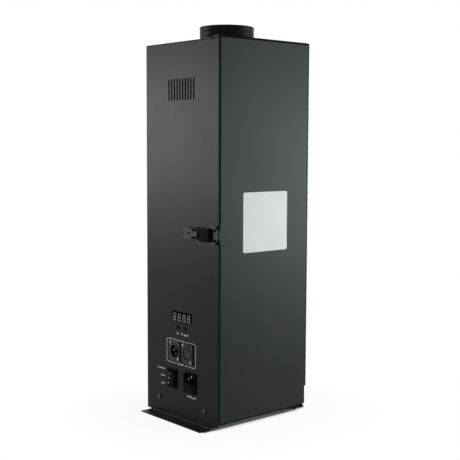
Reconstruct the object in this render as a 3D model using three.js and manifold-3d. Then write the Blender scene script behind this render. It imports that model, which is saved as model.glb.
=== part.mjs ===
// Stage flame machine: a tall sheet-steel cabinet with a hinged side door, a toggle latch, a control panel
// and, inside, an aerosol can that a solenoid presses against a nozzle below a spark gap and a flame tube.
// Millimetres, +Z up. The front face looks along -Y, the door is on +X, and the origin is on the floor
// below the middle of the cabinet.
import * as THREE from 'three';
import { mergeVertices } from 'three/addons/utils/BufferGeometryUtils.js';
import Module from 'manifold-3d';

const wasm = await Module();
wasm.setup();

// Cabinet shell, folded from one strip
const cabinetWidth = 174;
const cabinetDepth = 177;
const cabinetHeight = 570;
const shellSheet = 1.5;
const bendRadius = 1;
const cornerGap = 1.8;
const flangeReach = 19.4;
const flangeLeftInset = 9;
const flangeRightInset = 19;
const flangeHoleRadius = 3.25;
const flangeHoleFromEnd = 10;
const flangeHoleReach = 9.7;
const wallCornerHeight = 9;

// Clearances
const seatGap = 0.3;
const runningGap = 0.15;
const overrun = 1;
const mergeTolerance = 0.0001;

// Vent slots near the top of the front and rear walls
const ventCount = 10;
const ventPitch = 6.6;
const ventSlotWidth = 3.3;
const ventBottom = 483.6;
const ventTop = 516.2;
const slotEndShare = 0.48;

// Left panel and the sheets that cross the cabinet
const innerSheet = 1.2;
const sideReturn = 12;
const panelBottom = 6;
const baseLevel = 7.5;
const baseLip = 30;
const shelfLevel = 172.3;
const shelfLip = 16;
const crossSheetInset = 10;

// Door
const doorSheet = 1.2;
const doorReturn = 8;
const doorFrontGap = 2;
const doorTopGap = 2;
const doorBottom = 13.5;
const latchTabWidth = 16;
const latchTabHeight = 27;

// Continuous hinge
const hingeBottom = 41;
const hingeTop = 566;
const knuckleLength = 13.7;
const knuckleRadius = 2;
const leafSheet = 0.8;
const leafWidth = 16;
const leafGap = 0.4;
const hingePinRadius = 0.75;
const hingeReturn = 20;

// Toggle latch. Its base, cheeks, lever and link are measured from the pivot.
const latchHeight = 289;
const latchPivotFromRight = 41;
const latchPivotDepth = 5;
const latchCrank = 4.2;
const latchSheet = 1.2;
const latchBaseLeft = -28;
const latchBaseRight = 19;
const latchBaseHalfHeight = 8.4;
const cheekLeft = -6;
const cheekRight = 4.5;
const cheekProud = 8.2;
const leverLeft = -29.5;
const leverWallOuter = 8;
const leverWebEnd = 11;
const leverWebGap = 0.4;
const leverTongueEnd = 1.2;
const leverSlotLeft = -21;
const leverSlotRight = -12.2;
const leverSlotHeight = 4;
const leverLip = 6;
const linkLeft = 6;
const linkRight = 27.5;
const linkHalfHeight = 10;
const linkProud = 8.4;
const linkBackGap = 0.6;
const linkArmInner = 4.2;
const linkArmOuter = 6.2;
const latchRivetRadius = 1.5;
const latchEyeRadius = 2.3;
const keeperLipProud = 1.3;
const keeperLipFromRight = 18;
const keeperLipHalfHeight = 7.4;
const keeperRivetFromRight = 5.5;
const keeperRivetSpread = 15.2;
const openPivotClearance = 0.9;
const rivetHeadRadius = 2.1;
const rivetHeadHeight = 1;

// Outlet collar and flame tube
const outletRadius = 41;
const outletHeight = 26.5;
const outletWall = 2;
const outletFlangeRadius = 52;
const outletFlangeSheet = 1.5;
const outletRibs = 3;
const outletRibDepth = 0.5;
const outletRivetCircle = 46.5;
const outletRivetRadius = 2;
const outletRivetHead = 1.4;
const flameTubeRadius = 34;
const flameTubeAboveShield = 23.4;
const flameTubeHoles = 8;
const flameTubeHoleRadius = 4;
const flameTubeHoleRise = 10;

// Display and buttons
const displayFromMiddle = 1.6;
const displayZ = 158.8;
const displayWidth = 47;
const displayHeight = 15.6;
const displayProud = 0.4;
const buttonsFromMiddle = [-8, 8.6];
const buttonZ = 142.4;
const buttonRadius = 2.5;
const buttonProud = 1.4;
const buttonTravel = 0.8;
const buttonFlange = 1.2;
const boardDepth = 16.5;
const boardThickness = 1.6;
const boardLeftReach = 39;
const boardRightReach = 41;
const boardBottom = 127;
const boardTop = 170;
const studInset = 5;
const studRadius = 2.6;
const tactHeight = 4.5;
const tactSize = 6;

// Three-pin sockets
const socketInFromMiddle = -15.4;
const socketPitch = 30.5;
const socketZ = 105;
const socketFlangeWidth = 26;
const socketFlangeHeight = 31;
const socketFlangeSheet = 1.5;
const socketCornerRadius = 3;
const socketBarrelRadius = 11.8;
const socketBarrelDepth = 24;
const socketBoreRadius = 9.3;
const socketBoreDepth = 14;
const socketPlugRadius = 7.9;
const socketScrewX = 9.5;
const socketScrewZ = 12;
const contactRadius = 1.2;
const contactCircle = 4.75;
const contactDisc = 2;
const releaseTabWidth = 7.4;
const releaseTabHeight = 2.6;
const releaseTabProud = 1.6;
const releaseTabLength = 9;
const releaseTabFromCentre = 13.1;

// Rocker switch
const switchFromMiddle = -22.4;
const switchZ = 61.3;
const switchWidth = 21.5;
const switchHeight = 30.5;
const switchProud = 2;
const switchWallX = 3;
const switchWallZ = 3.2;
const switchBodyDepth = 20;
const switchPocketDepth = 8;
const rockerProud = 4.6;
const rockerWaist = 3.2;
const rockerKeel = 4.5;

// Mains inlet and fuse drawer
const inletFromMiddle = 21.4;
const inletZ = 61.9;
const inletWidth = 27.4;
const inletHeight = 31.4;
const inletProud = 2.5;
const inletBodyInset = 1.2;
const inletBodyDepth = 28;
const recessWidth = 23;
const recessHeight = 15;
const recessChamfer = 4;
const recessDepth = 13;
const recessFromTop = 1.8;
const bladeWidth = 4;
const bladeThickness = 2;
const bladeSpread = 7;
const bladeDrop = 1.8;
const bladeRise = 2.2;
const bladePlate = 1.5;
const bladeFromFace = 2;
const drawerWidth = 17;
const drawerHeight = 8;
const drawerFromBottom = 6.9;
const drawerFaceWidth = 19.5;
const drawerFaceHeight = 10.5;
const drawerFaceSheet = 1.6;
const drawerLength = 23;
const drawerGrip = 2;
const fuseRadius = 2.6;
const fuseLength = 20;

// Screws
const baseScrewInset = 31.8;
const baseScrewZ = 25;
const baseScrewRadius = 2;
const baseScrewHeadRadius = 3.8;
const baseScrewHead = 2.2;
const baseScrewLength = 9;
const socketScrewRadius = 1.4;
const socketScrewHeadRadius = 2.7;
const socketScrewHead = 1.5;
const socketScrewLength = 6;
const screwClearance = 0.35;
const headTopShare = 0.7;

// Fuel can, its carriage and the press
const canRadius = 32.4;
const canBodyHeight = 214;
const canShoulderHeight = 17;
const canCupRadius = 14.5;
const canCupHeight = 4;
const stemRadius = 2;
const stemLength = 8;
const cupWall = 1.4;
const cupBase = 2;
const cupRim = 24;
const pressStroke = 3;
const plungerRadius = 4;
const plungerFlangeRadius = 8;
const plungerFlange = 2;
const plungerBelowSolenoid = 20;
const solenoidSize = 32;
const solenoidHeight = 38;
const springWireRadius = 0.8;
const springRadius = 6;
const springCurls = 5;
const clipBelowShoulder = 40.1;
const clipHeight = 15;
const clipSheet = 1.2;
const clipFreeGap = 0.6;
const clipMouthDegrees = 110;
const clipFootHeight = 28;

// Nozzle, heat shield and spark gap
const nozzleBlockSize = 24;
const nozzleBlockHeight = 22;
const stemEntry = 4;
const nozzleShankRadius = 4;
const nozzleShank = 6;
const nozzleHexRadius = 8;
const nozzleHexHeight = 4;
const nozzleTipRadius = 2.6;
const nozzleTipHeight = 24;
const nozzleJetRadius = 0.9;
const bracketLip = 14;
const shieldAboveBracket = 16;
const shieldLip = 9;
const shieldHoleRadius = 12;
const insulatorSpread = 24;
const insulatorRadius = 4.6;
const insulatorFlangeRadius = 8;
const insulatorFlange = 3.4;
const insulatorAbove = 30;
const insulatorBelow = 11;
const electrodeRadius = 1.1;
const electrodeRise = 13;
const sparkGap = 5;

// Electronics
const supplySize = [58, 74, 31];
const supplyLeft = 18;
const supplyFromRear = 85;
const supplyEar = 9;
const supplyEarDepth = 13.5;
const supplySlots = 6;
const transformerSize = [34, 46, 66];
const transformerFromRear = 65;
const transformerZ = 296;
const transformerPostRadius = 4;
const transformerPost = 9;
const tiltSwitchRadius = 7;
const tiltSwitchHeight = 15;
const tiltSwitchFromRight = 34;
const tiltSwitchFromRear = 55;
const sensorSize = [18, 9, 12];
const sensorFromRight = 33;
const sensorBelowBracket = 35.4;
const magnetSize = [5, 12, 12];
const magnetY = 6;

// Facets
const collarSides = 32;
const fineSides = 24;
const smallSides = 12;
const tinySides = 8;
const leastSides = 6;
const filletSteps = 3;
const slotEndSteps = 2;
const electrodeSteps = 13;
const clipSteps = 16;

// Materials
const finish = (color, roughness, metalness) =>
  new THREE.MeshStandardMaterial({ color, roughness, metalness, flatShading: true });
const powderCoat = finish(0x1d1f1f, 0.55, 0.2);
const doorCoat = finish(0x222526, 0.5, 0.2);
const blackSteel = finish(0x101112, 0.4, 0.6);
const zincSteel = finish(0xb4b6b8, 0.35, 1);
const blackPlastic = finish(0x0d0d0e, 0.45, 0);
const switchPlastic = finish(0x151516, 0.35, 0);
const darkWindow = finish(0x0a0a0b, 0.15, 0);
const brass = finish(0xc8a24a, 0.3, 1);
const heatSteel = finish(0x5c5a57, 0.45, 0.9);
const ceramic = finish(0xe8e4da, 0.4, 0);
const boardGreen = finish(0x1e5a36, 0.55, 0);
const canPaint = finish(0xc9cdd0, 0.3, 0.8);
const fuseGlass = finish(0xd8dcdd, 0.1, 0);
const castResin = finish(0x2a2a2c, 0.6, 0);

// Shape tools

// A closed three.js geometry as a solid that can be cut and joined.
function solid(geometry) {
  const bare = geometry.index ? geometry.toNonIndexed() : geometry.clone();
  bare.deleteAttribute('normal');
  bare.deleteAttribute('uv');
  const merged = mergeVertices(bare, mergeTolerance);
  const all = merged.index.array;
  const kept = [];
  for (let i = 0; i < all.length; i += 3) {
    const [a, b, c] = [all[i], all[i + 1], all[i + 2]];
    if (a !== b && b !== c && c !== a) kept.push(a, b, c);
  }
  return new wasm.Manifold(new wasm.Mesh({
    numProp: 3,
    vertProperties: merged.attributes.position.array,
    triVerts: new Uint32Array(kept),
  }));
}

const join = (solids) => solids.reduce((whole, next) => whole.add(next));
const cut = (body, cutters) => cutters.reduce((left, cutter) => left.subtract(cutter), body);

function block([x0, x1], [y0, y1], [z0, z1]) {
  const geometry = new THREE.BoxGeometry(x1 - x0, y1 - y0, z1 - z0);
  geometry.translate((x0 + x1) / 2, (y0 + y1) / 2, (z0 + z1) / 2);
  return solid(geometry);
}

const around = (centre, half) => [centre - half, centre + half];

// The two directions that an outline is drawn in, for each axis that it can be extruded along.
const [alongX, alongY, alongZ] = [[1, 0, 0], [0, 1, 0], [0, 0, 1]].map((v) => new THREE.Vector3(...v));
const planes = {
  x: { u: alongY, v: alongZ, w: alongX, turn: 1 },
  y: { u: alongX, v: alongZ, w: alongY.clone().negate(), turn: -1 },
  z: { u: alongX, v: alongY, w: alongZ, turn: 1 },
};

// An outline extruded along an axis, from low to high.
function prism(outline, axis, [low, high], holes = []) {
  const { u, v, w, turn } = planes[axis];
  const shape = new THREE.Shape(outline);
  shape.holes = holes.map((hole) => new THREE.Path(hole));
  const geometry = new THREE.ExtrudeGeometry(shape, { depth: high - low, bevelEnabled: false });
  const frame = new THREE.Matrix4().makeBasis(u, v, w);
  frame.setPosition(w.clone().multiplyScalar(turn > 0 ? low : -high));
  return solid(geometry.applyMatrix4(frame));
}

const corner = (u, v, radius = 0) => ({ at: new THREE.Vector2(u, v), radius });

// The points of an outline whose corners may be rounded.
function rounded(corners, steps = filletSteps) {
  return corners.flatMap(({ at, radius }, index) => {
    if (radius === 0) return [at];
    const before = corners.at(index - 1).at;
    const after = corners[(index + 1) % corners.length].at;
    const back = before.clone().sub(at).normalize();
    const ahead = after.clone().sub(at).normalize();
    const half = Math.acos(back.dot(ahead)) / 2;
    const centre = back.clone().add(ahead).setLength(radius / Math.sin(half)).add(at);
    const start = back.clone().multiplyScalar(radius / Math.tan(half)).add(at).sub(centre);
    const end = ahead.clone().multiplyScalar(radius / Math.tan(half)).add(at).sub(centre);
    const sweep = Math.atan2(start.cross(end), start.dot(end));
    const arc = [];
    for (let step = 0; step <= steps; step += 1) {
      arc.push(start.clone().rotateAround(new THREE.Vector2(), (sweep * step) / steps).add(centre));
    }
    return arc;
  });
}

function circle(u, v, radius, sides = smallSides) {
  const points = [];
  for (let side = 0; side < sides; side += 1) {
    const angle = ((side + 0.5) * 2 * Math.PI) / sides;
    points.push(new THREE.Vector2(u + radius * Math.cos(angle), v + radius * Math.sin(angle)));
  }
  return points;
}

function rectangle([u0, u1], [v0, v1], radius = 0, steps = filletSteps) {
  return rounded([
    corner(u0, v0, radius),
    corner(u1, v0, radius),
    corner(u1, v1, radius),
    corner(u0, v1, radius),
  ], steps);
}

// A profile of [radius, height] points turned about a vertical axis at x, y.
function turned(profile, sides, x = 0, y = 0) {
  const points = profile.map(([radius, height]) => new THREE.Vector2(radius, height));
  if (THREE.ShapeUtils.area(points) < 0) points.reverse();
  const geometry = new THREE.LatheGeometry(points, sides);
  geometry.rotateX(Math.PI / 2);
  geometry.translate(x, y, 0);
  return solid(geometry);
}

function piece(name, shape, material) {
  const { vertProperties, triVerts } = shape.getMesh();
  const geometry = new THREE.BufferGeometry();
  geometry.setAttribute('position', new THREE.BufferAttribute(new Float32Array(vertProperties), 3));
  geometry.setIndex(new THREE.BufferAttribute(new Uint32Array(triVerts), 1));
  geometry.computeVertexNormals();
  const made = new THREE.Mesh(geometry, material);
  made.name = name;
  return made;
}

function group(x, y, z, pieces) {
  const made = new THREE.Group();
  made.position.set(x, y, z);
  made.add(...pieces);
  return made;
}

// Places that several pieces share, measured from the left face, the front face and the floor
const shellRight = cabinetWidth - cornerGap;
const frontInner = shellSheet;
const rearInner = cabinetDepth - shellSheet;
const topInner = cabinetHeight - shellSheet;
const middleX = cabinetWidth / 2;
const middleY = cabinetDepth / 2;
const doorInner = cabinetWidth - doorSheet;
const hingeX = doorInner - leafSheet - leafGap / 2;
const hingeY = cabinetDepth + knuckleRadius + runningGap;
const hingeLeafX = hingeX - leafGap / 2 - leafSheet;
const latchPivotX = cabinetWidth - latchPivotFromRight;
const keeperLipX = cabinetWidth - keeperLipFromRight;
const keeperRivetX = cabinetWidth - keeperRivetFromRight;
const displayX = middleX + displayFromMiddle;
const buttonXs = buttonsFromMiddle.map((x) => middleX + x);
const boardLeft = middleX - boardLeftReach;
const boardRight = middleX + boardRightReach;
const socketInX = middleX + socketInFromMiddle;
const socketOutX = socketInX + socketPitch;
const switchX = middleX + switchFromMiddle;
const inletX = middleX + inletFromMiddle;
const baseScrewXs = [baseScrewInset, cabinetWidth - baseScrewInset];
const outletRivetAngles = [0, 1, 2, 3].map((quarter) => (quarter + 0.5) * (Math.PI / 2));
const outletRivetSpots = outletRivetAngles.map((angle) => [
  middleX + outletRivetCircle * Math.cos(angle),
  middleY + outletRivetCircle * Math.sin(angle),
]);
const screwHoleRadius = baseScrewRadius + screwClearance;

// Shell: front wall, top, rear wall and both floor flanges from one folded strip
function cabinetShell() {
  const outer = bendRadius + shellSheet;
  const section = rounded([
    corner(-flangeReach, 0),
    corner(frontInner, 0, outer),
    corner(frontInner, topInner, bendRadius),
    corner(rearInner, topInner, bendRadius),
    corner(rearInner, 0, outer),
    corner(cabinetDepth + flangeReach, 0),
    corner(cabinetDepth + flangeReach, shellSheet),
    corner(cabinetDepth, shellSheet, bendRadius),
    corner(cabinetDepth, cabinetHeight, outer),
    corner(0, cabinetHeight, outer),
    corner(0, shellSheet, bendRadius),
    corner(-flangeReach, shellSheet),
  ]);
  const strip = prism(section, 'x', [0, shellRight]);
  const rearEdge = hingeLeafX;
  const hingeFlange = block(
    [rearEdge - shellSheet, rearEdge],
    [cabinetDepth - hingeReturn, cabinetDepth],
    [hingeBottom - hingeReturn, topInner - doorTopGap],
  );
  const narrowed = cut(strip, [
    block([rearEdge, cabinetWidth], [rearInner - outer, cabinetDepth + flangeReach + overrun],
      [-overrun, cabinetHeight - outer]),
  ]);
  return cut(join([narrowed, hingeFlange, ...boardStuds()]), [
    ...flangeEndCuts(),
    ...flangeHoleCuts(),
    ...ventCuts(),
    ...frontPanelCuts(),
    ...baseScrewCuts(),
    prism(circle(middleX, middleY, outletRadius + seatGap, collarSides), 'z',
      [topInner - overrun, cabinetHeight + overrun]),
    ...outletRivetSpots.map(([x, y]) =>
      prism(circle(x, y, screwHoleRadius, tinySides), 'z', [topInner - overrun, cabinetHeight + overrun])),
  ]);
}

// Both floor flanges are narrower than their walls. At its ends each flange is cut off square with its bend,
// and on the door's side the corner of the wall above is cut at a slant.
const flangeLeft = flangeLeftInset;
const flangeRight = cabinetWidth - flangeRightInset;

function flangeEndCuts() {
  const bendTop = shellSheet + bendRadius;
  const slanted = [
    corner(flangeRight, -overrun),
    corner(cabinetWidth, -overrun),
    corner(cabinetWidth, wallCornerHeight),
    corner(flangeRight, bendTop),
  ];
  const spans = [
    [-flangeReach - overrun, frontInner + overrun],
    [rearInner - overrun, cabinetDepth + flangeReach + overrun],
  ];
  return spans.flatMap((span) => [
    block([-overrun, flangeLeft], span, [-overrun, bendTop]),
    prism(rounded(slanted), 'y', span),
  ]);
}

const flangeHoleXs = [flangeLeft + flangeHoleFromEnd, flangeRight - flangeHoleFromEnd];
const flangeHoleSpots = flangeHoleXs.flatMap((x) => [
  [x, -flangeHoleReach],
  [x, cabinetDepth + flangeHoleReach],
]);

const flangeHoleCuts = () => flangeHoleSpots.map(([x, y]) =>
  prism(circle(x, y, flangeHoleRadius), 'z', [-overrun, shellSheet + overrun]));

// Welded studs on the front wall that carry the control board
const studSpots = [boardLeft + studInset, boardRight - studInset].flatMap((x) =>
  [boardBottom + studInset, boardTop - studInset].map((z) => [x, z]));

const boardStuds = () => studSpots.map(([x, z]) =>
  prism(circle(x, z, studRadius, leastSides), 'y', [frontInner - shellSheet / 2, boardDepth - runningGap]));

// Slots with round ends, through the front wall and the rear wall
function ventCuts() {
  const cuts = [];
  for (let slot = 0; slot < ventCount; slot += 1) {
    const x = middleX + (slot - (ventCount - 1) / 2) * ventPitch;
    const outline = rectangle(around(x, ventSlotWidth / 2), [ventBottom, ventTop],
      ventSlotWidth * slotEndShare, slotEndSteps);
    cuts.push(prism(outline, 'y', [-overrun, frontInner + overrun]));
    cuts.push(prism(outline, 'y', [rearInner - overrun, cabinetDepth + overrun]));
  }
  return cuts;
}

// Every opening of the control panel, each one seat gap larger than what sits in it
function frontPanelCuts() {
  const through = [-overrun, frontInner + overrun];
  const opening = (x, z, width, height, radius = 0) =>
    prism(rectangle(around(x, width / 2 + seatGap), around(z, height / 2 + seatGap), radius), 'y', through);
  return [
    opening(displayX, displayZ, displayWidth, displayHeight),
    ...buttonXs.map((x) => prism(circle(x, buttonZ, buttonRadius + seatGap), 'y', through)),
    ...[socketInX, socketOutX].map((x) =>
      prism(circle(x, socketZ, socketBarrelRadius + seatGap, fineSides), 'y', through)),
    ...socketScrewSpots().map(([x, z]) =>
      prism(circle(x, z, socketScrewRadius + screwClearance, tinySides), 'y', through)),
    prism(rectangle(around(socketOutX, releaseTabWidth / 2 + seatGap),
      around(socketZ + releaseTabFromCentre, releaseTabHeight / 2 + seatGap)), 'y', through),
    opening(switchX, switchZ, switchWidth - 2 * inletBodyInset, switchHeight - 2 * inletBodyInset),
    opening(inletX, inletZ, inletWidth - 2 * inletBodyInset, inletHeight - 2 * inletBodyInset),
  ];
}

const socketScrewSpots = () => [socketInX, socketOutX].flatMap((x) => [
  [x - socketScrewX, socketZ + socketScrewZ],
  [x + socketScrewX, socketZ - socketScrewZ],
]);

const baseScrewCuts = () => baseScrewXs.flatMap((x) => [
  prism(circle(x, baseScrewZ, screwHoleRadius), 'y', [-overrun, frontInner + innerSheet + overrun]),
  prism(circle(x, baseScrewZ, screwHoleRadius), 'y',
    [rearInner - innerSheet - overrun, cabinetDepth + overrun]),
]);

// Left panel: a tray whose four returns lie inside the shell
function leftSidePanel() {
  const [y0, y1] = [frontInner + seatGap, rearInner - seatGap];
  const [z0, z1] = [panelBottom, topInner - seatGap];
  const tray = prism(rectangle([y0, y1], [z0, z1], bendRadius), 'x', [0, sideReturn]);
  const hollow = block([innerSheet, sideReturn + overrun], [y0 + innerSheet, y1 - innerSheet],
    [z0 + innerSheet, z1 - innerSheet]);
  return tray.subtract(hollow);
}

// A sheet that crosses the cabinet from front to rear, with its two ends turned up against the walls
const crossSheetRight = cabinetWidth - crossSheetInset;
const crossSheetLeft = sideReturn + seatGap;

function crossSheet(level, lip, cutters) {
  const [y0, y1] = [frontInner + seatGap, rearInner - seatGap];
  const outer = bendRadius + innerSheet;
  const section = rounded([
    corner(y0, level, outer),
    corner(y1, level, outer),
    corner(y1, level + lip),
    corner(y1 - innerSheet, level + lip),
    corner(y1 - innerSheet, level + innerSheet, bendRadius),
    corner(y0 + innerSheet, level + innerSheet, bendRadius),
    corner(y0 + innerSheet, level + lip),
    corner(y0, level + lip),
  ]);
  return cut(prism(section, 'x', [crossSheetLeft, crossSheetRight]), cutters);
}

const roundHoleInSheet = (x, y, radius, level, sides = smallSides) =>
  prism(circle(x, y, radius, sides), 'z', [level - overrun, level + innerSheet + overrun]);

// Door: a tray open towards the hinge, with a tab round the front corner for the keeper
const doorTop = topInner - doorTopGap;
const tabOuter = -seatGap - doorSheet;
const latchTabZ = around(latchHeight, latchTabHeight / 2);

function doorPanel() {
  const outer = bendRadius + doorSheet;
  const section = rounded([
    corner(cabinetWidth, doorFrontGap, outer),
    corner(cabinetWidth, cabinetDepth),
    corner(doorInner, cabinetDepth),
    corner(doorInner, doorFrontGap + doorSheet, bendRadius),
    corner(cabinetWidth - doorReturn, doorFrontGap + doorSheet),
    corner(cabinetWidth - doorReturn, doorFrontGap),
  ]);
  const returnSpan = [[cabinetWidth - doorReturn, cabinetWidth - doorSheet / 2],
    [doorFrontGap + doorSheet / 2, cabinetDepth - hingeReturn]];
  const tabSection = rounded([
    corner(cabinetWidth, tabOuter, outer),
    corner(cabinetWidth, frontInner + doorFrontGap + outer),
    corner(doorInner, frontInner + doorFrontGap + outer),
    corner(doorInner, -seatGap, bendRadius),
    corner(cabinetWidth - latchTabWidth, -seatGap),
    corner(cabinetWidth - latchTabWidth, tabOuter),
  ]);
  const rivetHoles = keeperRivetZs.map((z) =>
    prism(circle(keeperRivetX, z, latchRivetRadius + runningGap, tinySides), 'y',
      [tabOuter - overrun, frontInner - seatGap]));
  return cut(join([
    prism(section, 'z', [doorBottom, doorTop]),
    block(...returnSpan, [doorTop - doorSheet, doorTop]),
    block(...returnSpan, [doorBottom, doorBottom + doorSheet]),
    prism(tabSection, 'z', latchTabZ),
  ]), rivetHoles);
}

// Continuous hinge: two leaves with alternate knuckles on one pin
const knuckleCount = Math.floor((hingeTop - hingeBottom) / knuckleLength);
const knuckleHoleRadius = hingePinRadius + runningGap;

function hingeLeaf(side, first) {
  const plateX = side < 0 ? [hingeX - leafGap / 2 - leafSheet, hingeX - leafGap / 2]
    : [hingeX + leafGap / 2, hingeX + leafGap / 2 + leafSheet];
  const span = [hingeBottom, hingeBottom + knuckleCount * knuckleLength];
  const plate = block(plateX, [cabinetDepth - leafWidth, cabinetDepth - seatGap], span);
  const parts = [plate];
  for (let knuckle = first; knuckle < knuckleCount; knuckle += 2) {
    const z0 = hingeBottom + knuckle * knuckleLength + seatGap / 2;
    const z1 = z0 + knuckleLength - seatGap;
    parts.push(block(plateX, [cabinetDepth - 2 * seatGap, hingeY], [z0, z1]));
    parts.push(prism(circle(hingeX, hingeY, knuckleRadius, leastSides), 'z', [z0, z1]));
  }
  const bore = prism(circle(hingeX, hingeY, knuckleHoleRadius, leastSides), 'z',
    [hingeBottom - overrun, hingeTop + overrun]);
  return join(parts).subtract(bore);
}

const hingePin = () => prism(circle(hingeX, hingeY, hingePinRadius, leastSides), 'z',
  [hingeBottom, hingeBottom + knuckleCount * knuckleLength]);

// Toggle latch. Its group's origin is on the pivot axis, at the front face and mid height of the latch,
// so x runs from the pivot and z from the middle.
const fromPivot = (x) => x - latchPivotX;
const pivotY = -latchPivotDepth;
const linkPinX = -latchCrank;
const bothSides = (make) => join([1, -1].map(make));
const sided = (side, low, high) => (side > 0 ? [low, high] : [-high, -low]);
const leverWallInner = leverWallOuter - latchSheet;
const cheekInner = leverWallOuter + runningGap * 2;
const cheekOuter = cheekInner + latchSheet;
const latchBaseRivetXs = [
  latchBaseLeft + latchEyeRadius * 2,
  latchBaseRight - latchEyeRadius * 2,
];

function latchBase() {
  const plate = block([latchBaseLeft, latchBaseRight], [-latchSheet, 0],
    around(0, latchBaseHalfHeight));
  const cheekOutline = rounded([
    corner(cheekLeft, 0),
    corner(cheekRight, 0),
    corner(cheekRight, -cheekProud, latchEyeRadius),
    corner(cheekLeft, -cheekProud, latchEyeRadius),
  ]);
  const cheeks = bothSides((side) => prism(cheekOutline, 'z', sided(side, cheekInner, cheekOuter)));
  const footing = bothSides((side) =>
    block([cheekLeft, cheekRight], [-latchSheet, 0],
      sided(side, latchBaseHalfHeight - latchSheet, cheekOuter)));
  const heads = latchBaseRivetXs.map((x) =>
    prism(circle(x, 0, rivetHeadRadius, tinySides), 'y', [-latchSheet - rivetHeadHeight, -latchSheet / 2]));
  return join([plate, footing, cheeks, pivotRivets(), ...heads]);
}

// Two stub rivets, one in each cheek, that leave the middle free for the link's arms
const pivotRivets = () => bothSides((side) => join([
  prism(circle(0, pivotY, latchRivetRadius), 'z', sided(side, leverWallInner, cheekOuter)),
  prism(circle(0, pivotY, rivetHeadRadius), 'z', sided(side, cheekInner, cheekOuter + rivetHeadHeight)),
]));

// The lever's web lies in front of the link's eyes. It ends short of them at both walls, and a narrower tongue
// runs on between the link's arms as far as the pivot.
function latchLever() {
  const webFront = pivotY - latchEyeRadius - leverWebGap - latchSheet;
  const wall = rounded([
    corner(leverLeft + leverLip, webFront + latchSheet / 2),
    corner(-leverWebEnd, webFront + latchSheet / 2),
    corner(latchEyeRadius + latchSheet, pivotY - latchEyeRadius + latchSheet / 2, latchEyeRadius),
    corner(latchEyeRadius + latchSheet, pivotY + latchEyeRadius + latchSheet / 2, latchEyeRadius),
    corner(linkPinX - latchEyeRadius, pivotY + latchEyeRadius + latchSheet / 2),
    corner(leverLeft + leverLip, webFront + 2 * latchSheet),
  ]);
  const walls = bothSides((side) => prism(wall, 'z', sided(side, leverWallInner, leverWallOuter)));
  const web = prism(rounded([
    corner(-leverWebEnd, webFront),
    corner(-leverWebEnd, webFront + latchSheet),
    corner(leverLeft + leverLip, webFront + latchSheet, bendRadius),
    corner(leverLeft, webFront + latchSheet - leverLip / 2),
    corner(leverLeft, webFront - leverLip / 2),
    corner(leverLeft + leverLip, webFront, bendRadius),
  ]), 'z', around(0, leverWallOuter));
  const tongue = block([-leverWebEnd - latchSheet, leverTongueEnd], [webFront, webFront + latchSheet],
    around(0, linkArmInner - seatGap));
  const slot = prism(rectangle([leverSlotLeft, leverSlotRight], around(0, leverSlotHeight / 2),
    leverSlotHeight / 2 - bendRadius / 2), 'y', [webFront - overrun, webFront + latchSheet + overrun]);
  return cut(join([walls, web, tongue]), [
    slot,
    prism(circle(0, pivotY, latchRivetRadius + runningGap), 'z', around(0, leverWallOuter + overrun)),
    prism(circle(linkPinX, pivotY, latchRivetRadius + runningGap), 'z', around(0, leverWallOuter + overrun)),
  ]);
}

function latchLink() {
  const back = -latchSheet - linkBackGap;
  const shellOuter = prism(rounded([
    corner(linkLeft, back),
    corner(linkRight, back),
    corner(linkRight, -linkProud, bendRadius * 2),
    corner(linkLeft, -linkProud, bendRadius),
  ]), 'z', around(0, linkHalfHeight));
  const hollow = block([linkLeft - overrun, linkRight - latchSheet],
    [-linkProud + latchSheet, back + overrun], around(0, linkHalfHeight - latchSheet));
  const clawRelief = block([fromPivot(cabinetWidth - latchTabWidth) - seatGap, linkRight + overrun],
    [keeperFront - keeperLipProud - openPivotClearance, back + overrun], around(0, linkHalfHeight + overrun));
  const arms = bothSides((side) => join([
    block([linkPinX, linkLeft + latchSheet], around(pivotY, latchSheet),
      sided(side, linkArmInner, linkArmOuter)),
    prism(circle(linkPinX, pivotY, latchEyeRadius), 'z', sided(side, linkArmInner, linkArmOuter)),
  ]));
  const bridge = block([linkLeft, linkLeft + latchSheet], [-linkProud + latchSheet / 2, pivotY + latchSheet],
    around(0, linkHalfHeight - latchSheet / 2));
  return cut(join([shellOuter.subtract(hollow).subtract(clawRelief), arms, bridge]), [
    prism(circle(linkPinX, pivotY, latchRivetRadius + runningGap), 'z', around(0, linkArmOuter + overrun)),
  ]);
}

const latchLinkPin = () =>
  prism(circle(linkPinX, pivotY, latchRivetRadius), 'z', around(0, leverWallOuter));

// Keeper on the door's tab: a plate whose left end is turned up into the lip that the link's claw hooks
const keeperBack = tabOuter - seatGap;
const keeperFront = keeperBack - latchSheet;
const keeperRivetZs = [latchHeight - keeperRivetSpread / 2, latchHeight + keeperRivetSpread / 2];

function latchKeeper() {
  const plate = block([cabinetWidth - latchTabWidth + seatGap, cabinetWidth - bendRadius - doorSheet],
    [keeperFront, keeperBack], around(latchHeight, latchTabHeight / 2 - seatGap));
  const tongue = prism(rounded([
    corner(cabinetWidth - latchTabWidth + overrun, keeperBack),
    corner(keeperLipX, keeperBack, bendRadius),
    corner(keeperLipX, keeperFront - keeperLipProud),
    corner(keeperLipX + latchSheet, keeperFront - keeperLipProud),
    corner(keeperLipX + latchSheet, keeperFront),
    corner(cabinetWidth - latchTabWidth + overrun, keeperFront),
  ]), 'z', around(latchHeight, keeperLipHalfHeight));
  const rivets = keeperRivetZs.flatMap((z) => [
    prism(circle(keeperRivetX, z, rivetHeadRadius, tinySides), 'y',
      [keeperFront - rivetHeadHeight, keeperBack]),
    prism(circle(keeperRivetX, z, latchRivetRadius, tinySides), 'y', [keeperFront, -seatGap]),
  ]);
  return join([plate, tongue, ...rivets]);
}

// A rivet's head as shares of its shank's radius
const rivetRimShare = 2;
const rivetCrownShare = 1.4;

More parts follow.
